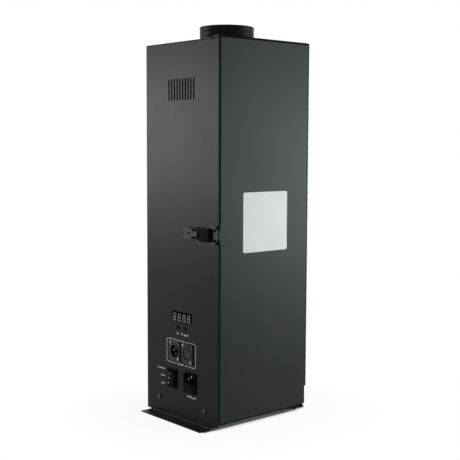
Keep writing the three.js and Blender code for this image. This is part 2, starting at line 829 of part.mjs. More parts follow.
// Outlet collar with shallow turned ribs. Its flange lies below the top, and four rivets through the top hold
// it and the flame tube.
function outletCollar() {
  const flangeTop = topInner - seatGap;
  const flangeBottom = flangeTop - outletFlangeSheet;
  const rim = cabinetHeight + outletHeight;
  const inner = outletRadius - outletWall;
  const ribs = [];
  const pitch = outletHeight / (outletRibs + 1);
  for (let rib = 1; rib <= outletRibs; rib += 1) {
    const height = cabinetHeight + rib * pitch;
    ribs.push([outletRadius, height - pitch / 2]);
    ribs.push([outletRadius - outletRibDepth, height]);
  }
  const collar = turned([
    [inner, flangeBottom],
    [outletFlangeRadius, flangeBottom],
    [outletFlangeRadius, flangeTop],
    [outletRadius, flangeTop],
    ...ribs,
    [outletRadius, rim - outletWall / 4],
    [outletRadius - outletWall / 4, rim],
    [inner, rim],
    [inner, flangeBottom],
  ], collarSides, middleX, middleY);
  const rivets = outletRivetSpots.map(([x, y]) => turned([
    [0, flangeBottom - seatGap - innerSheet],
    [outletRivetRadius, flangeBottom - seatGap - innerSheet],
    [outletRivetRadius, cabinetHeight + seatGap],
    [outletRivetRadius * rivetRimShare, cabinetHeight + seatGap],
    [outletRivetRadius * rivetCrownShare, cabinetHeight + seatGap + outletRivetHead],
    [0, cabinetHeight + seatGap + outletRivetHead],
  ], tinySides, x, y));
  return join([collar, ...rivets]);
}

// Flame tube: hangs from its own flange, with a row of air holes near its lower end. The row is turned by a
// share of the pitch so that no hole faces a rivet.
const flameTubeHoleTurnShare = 0.25;

function flameTube() {
  const tubeBottom = shieldLevel + flameTubeAboveShield;
  const flangeTop = topInner - 2 * seatGap - outletFlangeSheet;
  const inner = flameTubeRadius - innerSheet;
  const tube = turned([
    [inner, tubeBottom],
    [flameTubeRadius, tubeBottom],
    [flameTubeRadius, flangeTop - innerSheet],
    [outletFlangeRadius, flangeTop - innerSheet],
    [outletFlangeRadius, flangeTop],
    [inner, flangeTop],
    [inner, tubeBottom],
  ], fineSides, middleX, middleY);
  const holes = [];
  for (let hole = 0; hole < flameTubeHoles / 2; hole += 1) {
    const cutter = new THREE.CylinderGeometry(flameTubeHoleRadius, flameTubeHoleRadius,
      2 * (flameTubeRadius + overrun), leastSides);
    cutter.rotateZ(((hole + flameTubeHoleTurnShare) * 2 * Math.PI) / flameTubeHoles + Math.PI / 2);
    cutter.translate(middleX, middleY, tubeBottom + flameTubeHoleRise);
    holes.push(solid(cutter));
  }
  return cut(tube, [...holes, ...outletRivetSpots.map(([x, y]) =>
    prism(circle(x, y, screwHoleRadius, tinySides), 'z',
      [flangeTop - innerSheet - overrun, flangeTop + overrun]))]);
}

// Control panel. Its pieces are turned along the depth: a profile gives [radius, depth behind the face].
function turnedAcross(profile, sides, x, z) {
  const made = profile.map(([radius, depth]) => [radius, -depth]);
  return turned(made, sides).rotate([90, 0, 0]).translate([x, 0, z]);
}

function displayModule() {
  const lens = prism(rectangle(around(displayX, displayWidth / 2), around(displayZ, displayHeight / 2)), 'y',
    [-displayProud, boardDepth - seatGap]);
  return lens;
}

const buttonStemShare = 0.7;
const buttonBevelShare = 0.6;
const pushButton = (x) => turnedAcross([
  [0, -buttonProud],
  [buttonRadius * buttonStemShare, -buttonProud],
  [buttonRadius, -buttonProud * buttonBevelShare],
  [buttonRadius, frontInner + seatGap],
  [buttonRadius + buttonFlange, frontInner + seatGap],
  [buttonRadius + buttonFlange, frontInner + seatGap + buttonFlange],
  [buttonRadius * buttonStemShare, frontInner + seatGap + buttonFlange],
  [buttonRadius * buttonStemShare, boardDepth - tactHeight - buttonTravel - runningGap],
  [0, boardDepth - tactHeight - buttonTravel - runningGap],
], smallSides, x, buttonZ);

// Board with its tact switches, relay, connectors and heat sink. The table gives each part behind the board
// as shares of its width and height: left, right, bottom, top.
const boardPartShares = [
  [0.156, 0.375, 0.175, 0.525],
  [0.625, 0.844, 0.175, 0.384],
  [0.469, 0.625, 0.175, 0.884],
];
const boardPartHeight = 9.6;

function controlBoard() {
  const board = block([boardLeft, boardRight], [boardDepth, boardDepth + boardThickness],
    [boardBottom, boardTop]);
  const behind = [boardDepth + boardThickness / 2, boardDepth + boardPartHeight];
  const tacts = buttonXs.map((x) => block(around(x, tactSize / 2), [boardDepth - tactHeight,
    boardDepth + boardThickness / 2], around(buttonZ, tactSize / 2)));
  const [width, height] = [boardRight - boardLeft, boardTop - boardBottom];
  const parts = boardPartShares.map(([left, right, bottom, top]) => block(
    [boardLeft + left * width, boardLeft + right * width], behind,
    [boardBottom + bottom * height, boardBottom + top * height]));
  return join([board, ...tacts, ...parts]);
}

// The flange and barrel that both sockets share
function socketBody(x) {
  const flange = prism(rectangle(around(x, socketFlangeWidth / 2), around(socketZ, socketFlangeHeight / 2),
    socketCornerRadius), 'y', [-socketFlangeSheet, 0]);
  const barrel = prism(circle(x, socketZ, socketBarrelRadius, fineSides), 'y',
    [-socketFlangeSheet / 2, socketBarrelDepth]);
  const screwHoles = socketScrewSpots().map(([sx, z]) =>
    prism(circle(sx, z, socketScrewRadius + screwClearance, tinySides), 'y',
      [-socketFlangeSheet - overrun, overrun]));
  return cut(flange.add(barrel), screwHoles);
}

// Contacts of a three-pin socket, set in a triangle
const contactSpots = (x) => [0.5, 1, 1.5].map((half) => [
  x + contactCircle * Math.cos(half * Math.PI),
  socketZ + contactCircle * Math.sin(half * Math.PI),
]);

function inputSocket() {
  const bore = prism(circle(socketInX, socketZ, socketBoreRadius, fineSides), 'y',
    [-socketFlangeSheet - overrun, socketBoreDepth]);
  return socketBody(socketInX).subtract(bore);
}

// A pin's rounded tip, as shares of its radius
const pinTipShare = 0.6;
const pinShoulderShare = 1.5;

// An insulating disc at the bottom of the bore, with three pins
function inputContacts() {
  const bottom = socketBoreDepth - seatGap;
  const disc = prism(circle(socketInX, socketZ, socketBoreRadius - seatGap, fineSides), 'y',
    [bottom - contactDisc, bottom]);
  const pins = contactSpots(socketInX).map(([x, z]) => turnedAcross([
    [0, contactRadius / 2],
    [contactRadius * pinTipShare, contactRadius / 2],
    [contactRadius, contactRadius * pinShoulderShare],
    [contactRadius, bottom - contactDisc / 2],
    [0, bottom - contactDisc / 2],
  ], tinySides, x, z));
  return join([disc, ...pins]);
}

function outputSocket() {
  const ring = prism(circle(socketOutX, socketZ, socketBoreRadius, fineSides), 'y',
    [-socketFlangeSheet - overrun, socketBoreDepth],
    [circle(socketOutX, socketZ, socketPlugRadius, fineSides).reverse()]);
  const holes = contactSpots(socketOutX).map(([x, z]) =>
    prism(circle(x, z, contactRadius + runningGap, tinySides), 'y',
      [-socketFlangeSheet - overrun, socketBoreDepth]));
  const tabSlot = prism(rectangle(around(socketOutX, releaseTabWidth / 2 + runningGap),
    around(socketZ + releaseTabFromCentre, releaseTabHeight / 2 + runningGap)), 'y',
  [-socketFlangeSheet - overrun, socketBarrelDepth + overrun]);
  return cut(socketBody(socketOutX), [ring, ...holes, tabSlot]);
}

const releaseTab = () => prism(rectangle(
  [-releaseTabProud - socketFlangeSheet, releaseTabLength],
  around(socketZ + releaseTabFromCentre, releaseTabHeight / 2), releaseTabHeight / 4,
), 'x', around(socketOutX, releaseTabWidth / 2));

const screwAcross = (x, z, face, radius, headRadius, head, length) => turnedAcross([
  [0, face - head],
  [headRadius * headTopShare, face - head],
  [headRadius, face - head / 2],
  [headRadius, face],
  [radius, face],
  [radius, face + length],
  [0, face + length],
], tinySides, x, z);

const socketScrew = ([x, z]) => screwAcross(x, z, -socketFlangeSheet - runningGap, socketScrewRadius,
  socketScrewHeadRadius, socketScrewHead, socketScrewLength);

const frontBaseScrew = (x) => screwAcross(x, baseScrewZ, -runningGap, baseScrewRadius,
  baseScrewHeadRadius, baseScrewHead, baseScrewLength);

const rearBaseScrew = (x) => frontBaseScrew(cabinetWidth - x)
  .rotate([0, 0, 180]).translate([cabinetWidth, cabinetDepth, 0]);

// Rocker switch: a framed housing and a rocker that tips both ways from its middle position
function switchHousing() {
  const bezel = prism(rectangle(around(switchX, switchWidth / 2), around(switchZ, switchHeight / 2),
    inletBodyInset), 'y', [-switchProud, -runningGap]);
  const body = block(around(switchX, switchWidth / 2 - inletBodyInset), [-switchProud / 2, switchBodyDepth],
    around(switchZ, switchHeight / 2 - inletBodyInset));
  const pocket = block(around(switchX, switchWidth / 2 - switchWallX),
    [-switchProud - overrun, switchPocketDepth], around(switchZ, switchHeight / 2 - switchWallZ));
  return bezel.add(body).subtract(pocket);
}

function switchRocker() {
  const half = switchHeight / 2 - switchWallZ - seatGap;
  const outline = rounded([
    corner(-rockerProud, switchZ - half + switchProud / 2, bendRadius / 2),
    corner(-rockerWaist, switchZ),
    corner(-rockerProud, switchZ + half - switchProud / 2, bendRadius / 2),
    corner(-switchProud, switchZ + half - switchProud / 4),
    corner(rockerKeel, switchZ + half / 2),
    corner(rockerKeel, switchZ - half / 2),
    corner(-switchProud, switchZ - half + switchProud / 4),
  ]);
  return prism(outline, 'x', around(switchX, switchWidth / 2 - switchWallX - seatGap));
}

// Mains inlet: plug recess above, fuse drawer below
const recessZ = inletZ + inletHeight / 2 - recessFromTop - recessHeight / 2;
const drawerZ = inletZ - inletHeight / 2 + drawerFromBottom;

function powerInlet() {
  const bezel = prism(rectangle(around(inletX, inletWidth / 2), around(inletZ, inletHeight / 2),
    inletBodyInset), 'y', [-inletProud, -runningGap]);
  const body = block(around(inletX, inletWidth / 2 - inletBodyInset), [-inletProud / 2, inletBodyDepth],
    around(inletZ, inletHeight / 2 - inletBodyInset));
  const [u0, u1] = around(inletX, recessWidth / 2);
  const [v0, v1] = around(recessZ, recessHeight / 2);
  const recess = prism(rounded([
    corner(u0, v0, bendRadius),
    corner(u1, v0, bendRadius),
    corner(u1, v1 - recessChamfer),
    corner(u1 - recessChamfer, v1),
    corner(u0 + recessChamfer, v1),
    corner(u0, v1 - recessChamfer),
  ]), 'y', [-inletProud - overrun, recessDepth]);
  const drawerSlot = block(around(inletX, drawerWidth / 2 + seatGap), [-inletProud - overrun,
    drawerLength + seatGap], around(drawerZ, drawerHeight / 2 + seatGap));
  const faceSlot = block(around(inletX, drawerFaceWidth / 2 + seatGap),
    [-inletProud - overrun, -inletProud + drawerFaceSheet + seatGap],
    around(drawerZ, drawerFaceHeight / 2 + seatGap));
  return cut(bezel.add(body), [recess, drawerSlot, faceSlot]);
}

const bladeSpots = [
  [inletX - bladeSpread, recessZ - bladeDrop],
  [inletX, recessZ + bladeRise],
  [inletX + bladeSpread, recessZ - bladeDrop],
];

// An insulating plate on the recess's floor, with three blades
function inletContacts() {
  const bottom = recessDepth - seatGap;
  const plate = block(around(inletX, recessWidth / 2 - recessChamfer), [bottom - bladePlate, bottom],
    around(recessZ, recessHeight / 2 - seatGap));
  const blades = bladeSpots.map(([x, z]) => block(around(x, bladeThickness / 2),
    [bladeFromFace, bottom - bladePlate / 2], around(z, bladeWidth / 2)));
  return join([plate, ...blades]);
}

function fuseDrawer() {
  const face = prism(rectangle(around(inletX, drawerFaceWidth / 2), around(drawerZ, drawerFaceHeight / 2)),
    'y', [-inletProud - drawerFaceSheet / 2, -inletProud + drawerFaceSheet]);
  const grip = block(around(inletX, drawerWidth / 4), [-inletProud - drawerGrip, -inletProud],
    [drawerZ + drawerFaceHeight / 2 - drawerGrip, drawerZ + drawerFaceHeight / 2]);
  const tray = block(around(inletX, drawerWidth / 2), [-inletProud, drawerLength],
    around(drawerZ, drawerHeight / 2));
  const pocket = block(around(inletX, fuseRadius + seatGap), [drawerLength - overrun - fuseLength - seatGap,
    drawerLength - overrun + seatGap], [drawerZ - fuseRadius - seatGap, drawerZ + drawerHeight]);
  return join([face, grip, tray]).subtract(pocket);
}

const fuse = () => turnedAcross([
  [0, drawerLength - overrun - fuseLength],
  [fuseRadius, drawerLength - overrun - fuseLength],
  [fuseRadius, drawerLength - overrun],
  [0, drawerLength - overrun],
], smallSides, inletX, drawerZ);

// Fuel system. Its group's origin is on the can's axis at the floor.
const shelfTop = shelfLevel + innerSheet;
const cupBottom = shelfTop + seatGap;
const canBottom = cupBottom + cupBase + seatGap;
const canShoulder = canBottom + canBodyHeight;
const canCupLevel = canShoulder + canShoulderHeight;
const stemTop = canCupLevel + canCupHeight + stemLength;
const blockBottom = stemTop - stemEntry;
const blockTop = blockBottom + nozzleBlockHeight;
const bracketLevel = blockTop + seatGap;
const shieldLevel = bracketLevel + innerSheet + shieldAboveBracket;
const sensorLevel = bracketLevel - sensorBelowBracket;
const solenoidTop = shelfLevel - seatGap;
const solenoidBottom = solenoidTop - solenoidHeight;
const plungerBottom = solenoidBottom - plungerBelowSolenoid;

// Rolled seams, domed shoulder and crimped valve cup, as shares of the can's radius and shoulder height
const canRimShare = 1.02;
const canBaseShares = [[0, 0.03], [0.85, 0.01], [0.92, 0]];
const canShoulderShares = [[0.95, 0.06], [0.82, 0.42], [0.62, 0.76], [0.45, 0.92]];
const canValveShares = [[1, 0.05], [1, 0.8], [0.9, 1], [0.8, 0.3], [0.42, 0.25], [0.36, 1]];

function fuelCan() {
  const rim = canRadius * canRimShare;
  const seam = canRadius * (canRimShare - 1) * 2;
  return turned([
    ...canBaseShares.map(([r, h]) => [r * canRadius, canBottom + h * canBodyHeight]),
    [rim, canBottom],
    [rim, canBottom + seam * 2],
    [canRadius, canBottom + seam * 3],
    [canRadius, canShoulder - seam * 3],
    [rim, canShoulder - seam * 2],
    [rim, canShoulder],
    ...canShoulderShares.map(([r, h]) => [r * canRadius, canShoulder + h * canShoulderHeight]),
    ...canValveShares.map(([r, h]) => [r * canCupRadius, canCupLevel + h * canCupHeight]),
    [stemRadius, canCupLevel + canCupHeight],
    [stemRadius, stemTop],
    [0, stemTop],
  ], fineSides);
}

const canCup = () => turned([
  [0, cupBottom],
  [canRadius + seatGap * 2 + cupWall, cupBottom],
  [canRadius * canRimShare + seatGap + cupWall, cupBottom + cupRim],
  [canRadius * canRimShare + seatGap, cupBottom + cupRim],
  [canRadius * canRimShare + seatGap, cupBottom + cupBase],
  [0, cupBottom + cupBase],
], fineSides);

const pressPlunger = () => turned([
  [0, plungerBottom],
  [plungerFlangeRadius, plungerBottom],
  [plungerFlangeRadius, plungerBottom + plungerFlange],
  [plungerRadius, plungerBottom + plungerFlange],
  [plungerRadius, cupBottom - seatGap / 2],
  [0, cupBottom - seatGap / 2],
], smallSides);

// The coil's inner radius as a share of the plunger's
const coilBoreShare = 1.5;

function pressSolenoid() {
  const half = solenoidSize / 2;
  const frame = block(around(0, half), around(0, half), [solenoidBottom, solenoidTop]);
  const windows = [-1, 1].map((side) => block(around(side * half, half / 4), around(0, half - shellSheet),
    [solenoidBottom + shellSheet * 2, solenoidTop - shellSheet * 2]));
  const coil = turned([
    [plungerRadius * coilBoreShare, solenoidBottom + shellSheet],
    [half - shellSheet, solenoidBottom + shellSheet],
    [half - shellSheet, solenoidTop - shellSheet],
    [plungerRadius * coilBoreShare, solenoidTop - shellSheet],
    [plungerRadius * coilBoreShare, solenoidBottom + shellSheet],
  ], smallSides);
  const bore = prism(circle(0, 0, plungerRadius + seatGap), 'z',
    [solenoidBottom - overrun, solenoidTop + overrun]);
  return join([cut(frame, windows), coil]).subtract(bore);
}

// A helix for the press's return spring
class Helix extends THREE.Curve {
  constructor(radius, low, high, turns) {
    super();
    Object.assign(this, { radius, low, high, turns });
  }

  getPoint(t) {
    const angle = t * this.turns * 2 * Math.PI;
    return new THREE.Vector3(this.radius * Math.cos(angle), this.radius * Math.sin(angle),
      this.low + t * (this.high - this.low));
  }
}

const springStepsPerCurl = 8;
const springSides = 5;

function pressSpring() {
  const low = plungerBottom + plungerFlange + seatGap + springWireRadius;
  const high = solenoidBottom - seatGap - springWireRadius;
  const path = new Helix(springRadius, low, high, springCurls);
  const gap = (high - low) / springCurls - 2 * springWireRadius;
  console.log(`press_spring: least gap between curls ${gap.toFixed(2)} mm`);
  const section = new THREE.Shape(circle(0, 0, springWireRadius, springSides));
  return solid(new THREE.ExtrudeGeometry(section, {
    steps: springCurls * springStepsPerCurl,
    extrudePath: path,
    bevelEnabled: false,
  }));
}

// Spring clip that holds the can upright, on an arm from the left panel
function canClip() {
  const inner = canRadius * canRimShare + clipFreeGap;
  const outer = inner + clipSheet;
  const mouth = THREE.MathUtils.degToRad(clipMouthDegrees) / 2;
  const arc = (radius, reverse) => {
    const points = [];
    for (let step = 0; step <= clipSteps; step += 1) {
      const share = reverse ? 1 - step / clipSteps : step / clipSteps;
      const angle = mouth + share * 2 * (Math.PI - mouth);
      points.push(new THREE.Vector2(radius * Math.cos(angle), radius * Math.sin(angle)));
    }
    return points;
  };
  const span = [canShoulder - clipBelowShoulder, canShoulder - clipBelowShoulder + clipHeight];
  const ring = prism([...arc(outer, false), ...arc(inner, true)], 'z', span);
  const wall = innerSheet + seatGap - middleX;
  const arm = block([wall, -outer + clipSheet / 2], around(0, clipSheet), span);
  const foot = block([wall, wall + clipSheet], around(0, clipFootHeight / 2), span);
  return join([ring, arm, foot]);
}

function nozzleBlock() {
  const side = around(0, nozzleBlockSize / 2);
  return cut(prism(rectangle(side, side, bendRadius * 2), 'z', [blockBottom, blockTop]), [
    prism(circle(0, 0, stemRadius + seatGap * 2), 'z',
      [blockBottom - overrun, stemTop + pressStroke + seatGap]),
    prism(circle(0, 0, nozzleShankRadius + runningGap * 2), 'z',
      [blockTop - nozzleShank, blockTop + overrun]),
  ]);
}

// The nozzle's neck as a share of its hexagon
const nozzleNeckShare = 0.75;

function nozzle() {
  const seat = bracketLevel + innerSheet + seatGap;
  const body = turned([
    [nozzleJetRadius, blockTop - nozzleShank + seatGap],
    [nozzleShankRadius, blockTop - nozzleShank + seatGap],
    [nozzleShankRadius, seat + nozzleHexHeight],
    [nozzleHexRadius * nozzleNeckShare, seat + nozzleHexHeight],
    [nozzleHexRadius * nozzleNeckShare, seat + nozzleTipHeight / 2],
    [nozzleTipRadius, seat + nozzleTipHeight],
    [nozzleJetRadius, seat + nozzleTipHeight],
    [nozzleJetRadius, blockTop - nozzleShank + seatGap],
  ], smallSides);
  const hex = prism(circle(0, 0, nozzleHexRadius, 6), 'z', [seat, seat + nozzleHexHeight + seatGap],
    [circle(0, 0, nozzleShankRadius / 2, tinySides).reverse()]);
  return body.add(hex);
}

const nozzleBracket = () => crossSheet(bracketLevel, bracketLip, [
  roundHoleInSheet(middleX, middleY, nozzleShankRadius + seatGap, bracketLevel),
  ...insulatorXs.map((x) => roundHoleInSheet(middleX + x, middleY, insulatorFlangeRadius, bracketLevel)),
]);

const insulatorXs = [-insulatorSpread, insulatorSpread];

const heatShield = () => crossSheet(shieldLevel, shieldLip, [
  roundHoleInSheet(middleX, middleY, shieldHoleRadius, shieldLevel),
  ...insulatorXs.map((x) => roundHoleInSheet(middleX + x, middleY, insulatorRadius + seatGap, shieldLevel)),
]);

const canShelf = () => crossSheet(shelfLevel, shelfLip, [
  roundHoleInSheet(middleX, middleY, plungerRadius + 2 * seatGap, shelfLevel),
]);

const baseTray = () => crossSheet(baseLevel, baseLip, baseScrewXs.map((x) =>
  prism(circle(x, baseScrewZ, screwHoleRadius), 'y', [-overrun, cabinetDepth + overrun])));

// Glazed ribs above the shield, a collar that sits on it and a plain lower end. It tapers by these shares.
const insulatorShoulderShare = 1.4;
const insulatorTopShare = 0.7;

function insulator(x) {
  const seat = shieldLevel + innerSheet + seatGap;
  const bore = electrodeRadius + runningGap * 2;
  return turned([
    [bore, shieldLevel - insulatorBelow],
    [insulatorRadius, shieldLevel - insulatorBelow],
    [insulatorRadius, seat],
    [insulatorFlangeRadius, seat],
    [insulatorFlangeRadius, seat + insulatorFlange],
    [insulatorRadius, seat + insulatorFlange * insulatorShoulderShare],
    [insulatorRadius * insulatorTopShare, seat + insulatorAbove],
    [bore, seat + insulatorAbove],
    [bore, shieldLevel - insulatorBelow],
  ], smallSides, x, 0);
}

// A rod that rises through its insulator and turns in towards the nozzle's axis
function electrode(side) {
  const x = side * insulatorSpread;
  const bottom = shieldLevel - insulatorBelow - electrodeRadius * 3;
  const bend = shieldLevel + insulatorAbove + electrodeRise;
  const tip = side * (sparkGap / 2);
  const path = new THREE.CurvePath();
  const lean = electrodeRise / 2;
  const point = (px, pz) => new THREE.Vector3(px, 0, pz);
  const [before, after] = [point(x, bend - lean), point(x - side * lean, bend)];
  path.add(new THREE.LineCurve3(point(x, bottom), before));
  path.add(new THREE.QuadraticBezierCurve3(before, point(x, bend), after));
  path.add(new THREE.LineCurve3(after, point(tip, bend)));
  return solid(new THREE.ExtrudeGeometry(new THREE.Shape(circle(0, 0, electrodeRadius, leastSides)), {
    steps: electrodeSteps,
    extrudePath: path,
    bevelEnabled: false,
  }));
}

// Electronics
function powerSupply() {
  const [width, depth, height] = supplySize;
  const [x, y] = [supplyLeft, cabinetDepth - supplyFromRear];
  const z = baseLevel + innerSheet + seatGap;
  const ear = supplyEar;
  const body = block([x, x + width], [y, y + depth], [z, z + height]);
  const ears = block([x - ear / 2, x + width + ear], [y + ear, y + ear + supplyEarDepth],
    [z, z + shellSheet]);
  const terminals = block([x + ear, x + width - ear], [y - ear, y + overrun], [z, z + height / 3]);
  const slots = [];
  for (let slot = 0; slot < supplySlots; slot += 1) {
    const at = y + ((slot + 1) * depth) / (supplySlots + 1);
    slots.push(block([x + ear, x + width - ear], around(at, shellSheet),
      [z + height - shellSheet * 2, z + height + overrun]));
  }
  return cut(join([body, ears, terminals]), slots);
}

// A post's top as a share of its foot
const transformerPostShare = 0.6;

function ignitionTransformer() {
  const [width, depth, height] = transformerSize;
  const [x, y] = [innerSheet + seatGap, cabinetDepth - transformerFromRear];
  const top = transformerZ + height;
  const body = prism(rectangle([x, x + width], [y, y + depth], bendRadius * 2), 'z', [transformerZ, top]);
  const posts = [1, 3].map((quarter) => turned([
    [0, top - overrun],
    [transformerPostRadius, top - overrun],
    [transformerPostRadius * transformerPostShare, top + transformerPost],
    [0, top + transformerPost],
  ], tinySides, x + width / 2, y + (depth * quarter) / 4));
  return join([body, ...posts]);
}

const tiltSwitchBaseShare = 1.5;
const tiltSwitch = () => turned([
  [0, baseLevel + innerSheet + seatGap],
  [tiltSwitchRadius * tiltSwitchBaseShare, baseLevel + innerSheet + seatGap],
  [tiltSwitchRadius * tiltSwitchBaseShare, baseLevel + innerSheet + seatGap + shellSheet],
  [tiltSwitchRadius, baseLevel + innerSheet + seatGap + shellSheet],
  [tiltSwitchRadius, baseLevel + tiltSwitchHeight],
  [0, baseLevel + tiltSwitchHeight],
], smallSides, cabinetWidth - tiltSwitchFromRight, cabinetDepth - tiltSwitchFromRear);

const doorSensor = () => {
  const [width, depth, height] = sensorSize;
  const [x, y] = [cabinetWidth - sensorFromRight, frontInner + seatGap];
  return block([x, x + width], [y, y + depth], [sensorLevel, sensorLevel + height]);
};

const doorMagnet = () => {
  const [width, depth, height] = magnetSize;
  const right = doorInner - seatGap;
  return block([right - width, right], [magnetY, magnetY + depth], [sensorLevel, sensorLevel + height]);
};

// Assembly
const housing = group(0, 0, 0, [
  piece('cabinet_shell', cabinetShell(), powderCoat),
  piece('left_side_panel', leftSidePanel(), powderCoat),
  piece('base_tray', baseTray(), powderCoat),
  piece('base_screw_front_left', frontBaseScrew(baseScrewXs[0]), blackSteel),
  piece('base_screw_front_right', frontBaseScrew(baseScrewXs[1]), blackSteel),
  piece('base_screw_rear_left', rearBaseScrew(baseScrewXs[0]), blackSteel),
  piece('base_screw_rear_right', rearBaseScrew(baseScrewXs[1]), blackSteel),
  piece('outlet_collar', outletCollar(), blackSteel),
  piece('flame_tube', flameTube(), heatSteel),
]);

const door = group(0, 0, 0, [
  piece('door_panel', doorPanel(), doorCoat),
  piece('door_hinge_leaf', hingeLeaf(1, 1), blackSteel),
  piece('latch_keeper', latchKeeper(), blackSteel),
  piece('door_magnet', doorMagnet(), blackPlastic),
]);

const hinge = group(0, 0, 0, [
  piece('body_hinge_leaf', hingeLeaf(-1, 0), blackSteel),
  piece('hinge_pin', hingePin(), zincSteel),
]);

const latch = group(latchPivotX, 0, latchHeight, [
  piece('latch_base', latchBase(), blackSteel),
  piece('latch_lever', latchLever(), blackSteel),
  piece('latch_link_pin', latchLinkPin(), zincSteel),
  piece('latch_link', latchLink(), blackSteel),
]);

const controls = group(0, 0, 0, [
  piece('display_module', displayModule(), darkWindow),
  piece('button_up', pushButton(buttonXs[0]), blackPlastic),
  piece('button_down', pushButton(buttonXs[1]), blackPlastic),
  piece('control_board', controlBoard(), boardGreen),
  piece('signal_in_socket', inputSocket(), blackSteel),
  piece('signal_in_contacts', inputContacts(), brass),
  piece('signal_out_socket', outputSocket(), blackSteel),
  piece('signal_out_release_tab', releaseTab(), zincSteel),
  piece('signal_in_upper_screw', socketScrew(socketScrewSpots()[0]), blackSteel),
  piece('signal_in_lower_screw', socketScrew(socketScrewSpots()[1]), blackSteel),
  piece('signal_out_upper_screw', socketScrew(socketScrewSpots()[2]), blackSteel),
  piece('signal_out_lower_screw', socketScrew(socketScrewSpots()[3]), blackSteel),
  piece('mode_switch_housing', switchHousing(), blackPlastic),
  piece('mode_switch_rocker', switchRocker(), switchPlastic),
  piece('power_inlet', powerInlet(), blackPlastic),
  piece('inlet_contacts', inletContacts(), zincSteel),
  piece('fuse_drawer', fuseDrawer(), switchPlastic),
  piece('fuse', fuse(), fuseGlass),
]);

const fuelSystem = group(middleX, middleY, 0, [
  piece('can_cup', canCup(), zincSteel),
  piece('fuel_can', fuelCan(), canPaint),
  piece('press_plunger', pressPlunger(), zincSteel),
  piece('press_solenoid', pressSolenoid(), blackSteel),
  piece('press_spring', pressSpring(), zincSteel),
  piece('can_clip', canClip(), zincSteel),
  piece('nozzle_block', nozzleBlock(), brass),
  piece('nozzle', nozzle(), brass),
  piece('left_insulator', insulator(-insulatorSpread), ceramic),
  piece('right_insulator', insulator(insulatorSpread), ceramic),
  piece('left_electrode', electrode(-1), heatSteel),
  piece('right_electrode', electrode(1), heatSteel),
]);

const innerFrame = group(0, 0, 0, [
  piece('can_shelf', canShelf(), zincSteel),
  piece('nozzle_bracket', nozzleBracket(), zincSteel),
  piece('heat_shield', heatShield(), heatSteel),
]);

const electronics = group(0, 0, 0, [
  piece('power_supply', powerSupply(), zincSteel),
  piece('ignition_transformer', ignitionTransformer(), castResin),
  piece('tilt_switch', tiltSwitch(), zincSteel),
  piece('door_sensor', doorSensor(), blackPlastic),
]);

const stageFlameMachine = group(-cabinetWidth / 2, -cabinetDepth / 2, 0, [
  housing,
  door,
  hinge,
  latch,
  controls,
  fuelSystem,
  innerFrame,
  electronics,
]);

export default stageFlameMachine;
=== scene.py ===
"""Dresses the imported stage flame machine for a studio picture.

The model's frame has +Z up, -Y out of the control panel and +X out of the hinged door.
"""

import logging
import math
from dataclasses import dataclass, field
from enum import Enum
from typing import Callable, Sequence

import bmesh
import bpy
from mathutils import Matrix, Vector


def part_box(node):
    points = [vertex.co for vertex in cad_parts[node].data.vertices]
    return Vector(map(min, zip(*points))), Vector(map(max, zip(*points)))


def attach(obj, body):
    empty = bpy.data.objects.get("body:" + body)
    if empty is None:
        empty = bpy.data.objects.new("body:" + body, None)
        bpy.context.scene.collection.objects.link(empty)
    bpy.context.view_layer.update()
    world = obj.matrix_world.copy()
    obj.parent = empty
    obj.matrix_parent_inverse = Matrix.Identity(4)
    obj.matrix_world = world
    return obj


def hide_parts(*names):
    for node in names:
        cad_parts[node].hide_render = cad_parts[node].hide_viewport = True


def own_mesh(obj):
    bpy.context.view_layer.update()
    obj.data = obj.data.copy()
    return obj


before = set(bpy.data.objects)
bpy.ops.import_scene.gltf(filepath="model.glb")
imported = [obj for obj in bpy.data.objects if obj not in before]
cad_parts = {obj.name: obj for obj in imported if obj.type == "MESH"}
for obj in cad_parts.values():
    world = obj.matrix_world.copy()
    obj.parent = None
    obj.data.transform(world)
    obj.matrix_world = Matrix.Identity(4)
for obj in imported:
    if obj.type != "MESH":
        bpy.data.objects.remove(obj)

LOG = logging.getLogger("stage_flame_machine")
# A millimetre in metres, how close two points in millimetres are one, and how many degrees make an edge sharp.
MM = 0.001
MERGE = 0.001
SMOOTH = 35.0
FULL_TURN = 2 * math.pi
# The Y of the front wall's outer face.
FRONT_FACE = -88.5
Point2 = tuple[float, float]
Colour = tuple[float, float, float]


class Body(str, Enum):
    """The rigid bodies that the pieces ride on."""

    CABINET = "cabinet"
    DOOR = "door"
    LEVER = "latch_lever"
    LINK = "latch_link"
    BUTTON_UP = "button_up"
    BUTTON_DOWN = "button_down"
    RELEASE_TAB = "release_tab"
    ROCKER = "mode_rocker"
    FUSE_DRAWER = "fuse_drawer"
    CAN = "can_carriage"


# Materials


@dataclass(frozen=True)
class Look:
    """What a procedural finish is made of: two colours and a roughness that wander, and a fine grain."""

    base: Colour
    second: Colour
    roughness: tuple[float, float]
    metallic: float = 0.0
    specular: float = 0.5
    grain: float = 0.5
    bump: float = 0.02
    patch: float = 30.0
    coat: float = 0.0
    stretch: tuple[float, float, float] = (1.0, 1.0, 1.0)
    transmission: float = 0.0
    tint: Colour = (1.0, 1.0, 1.0)


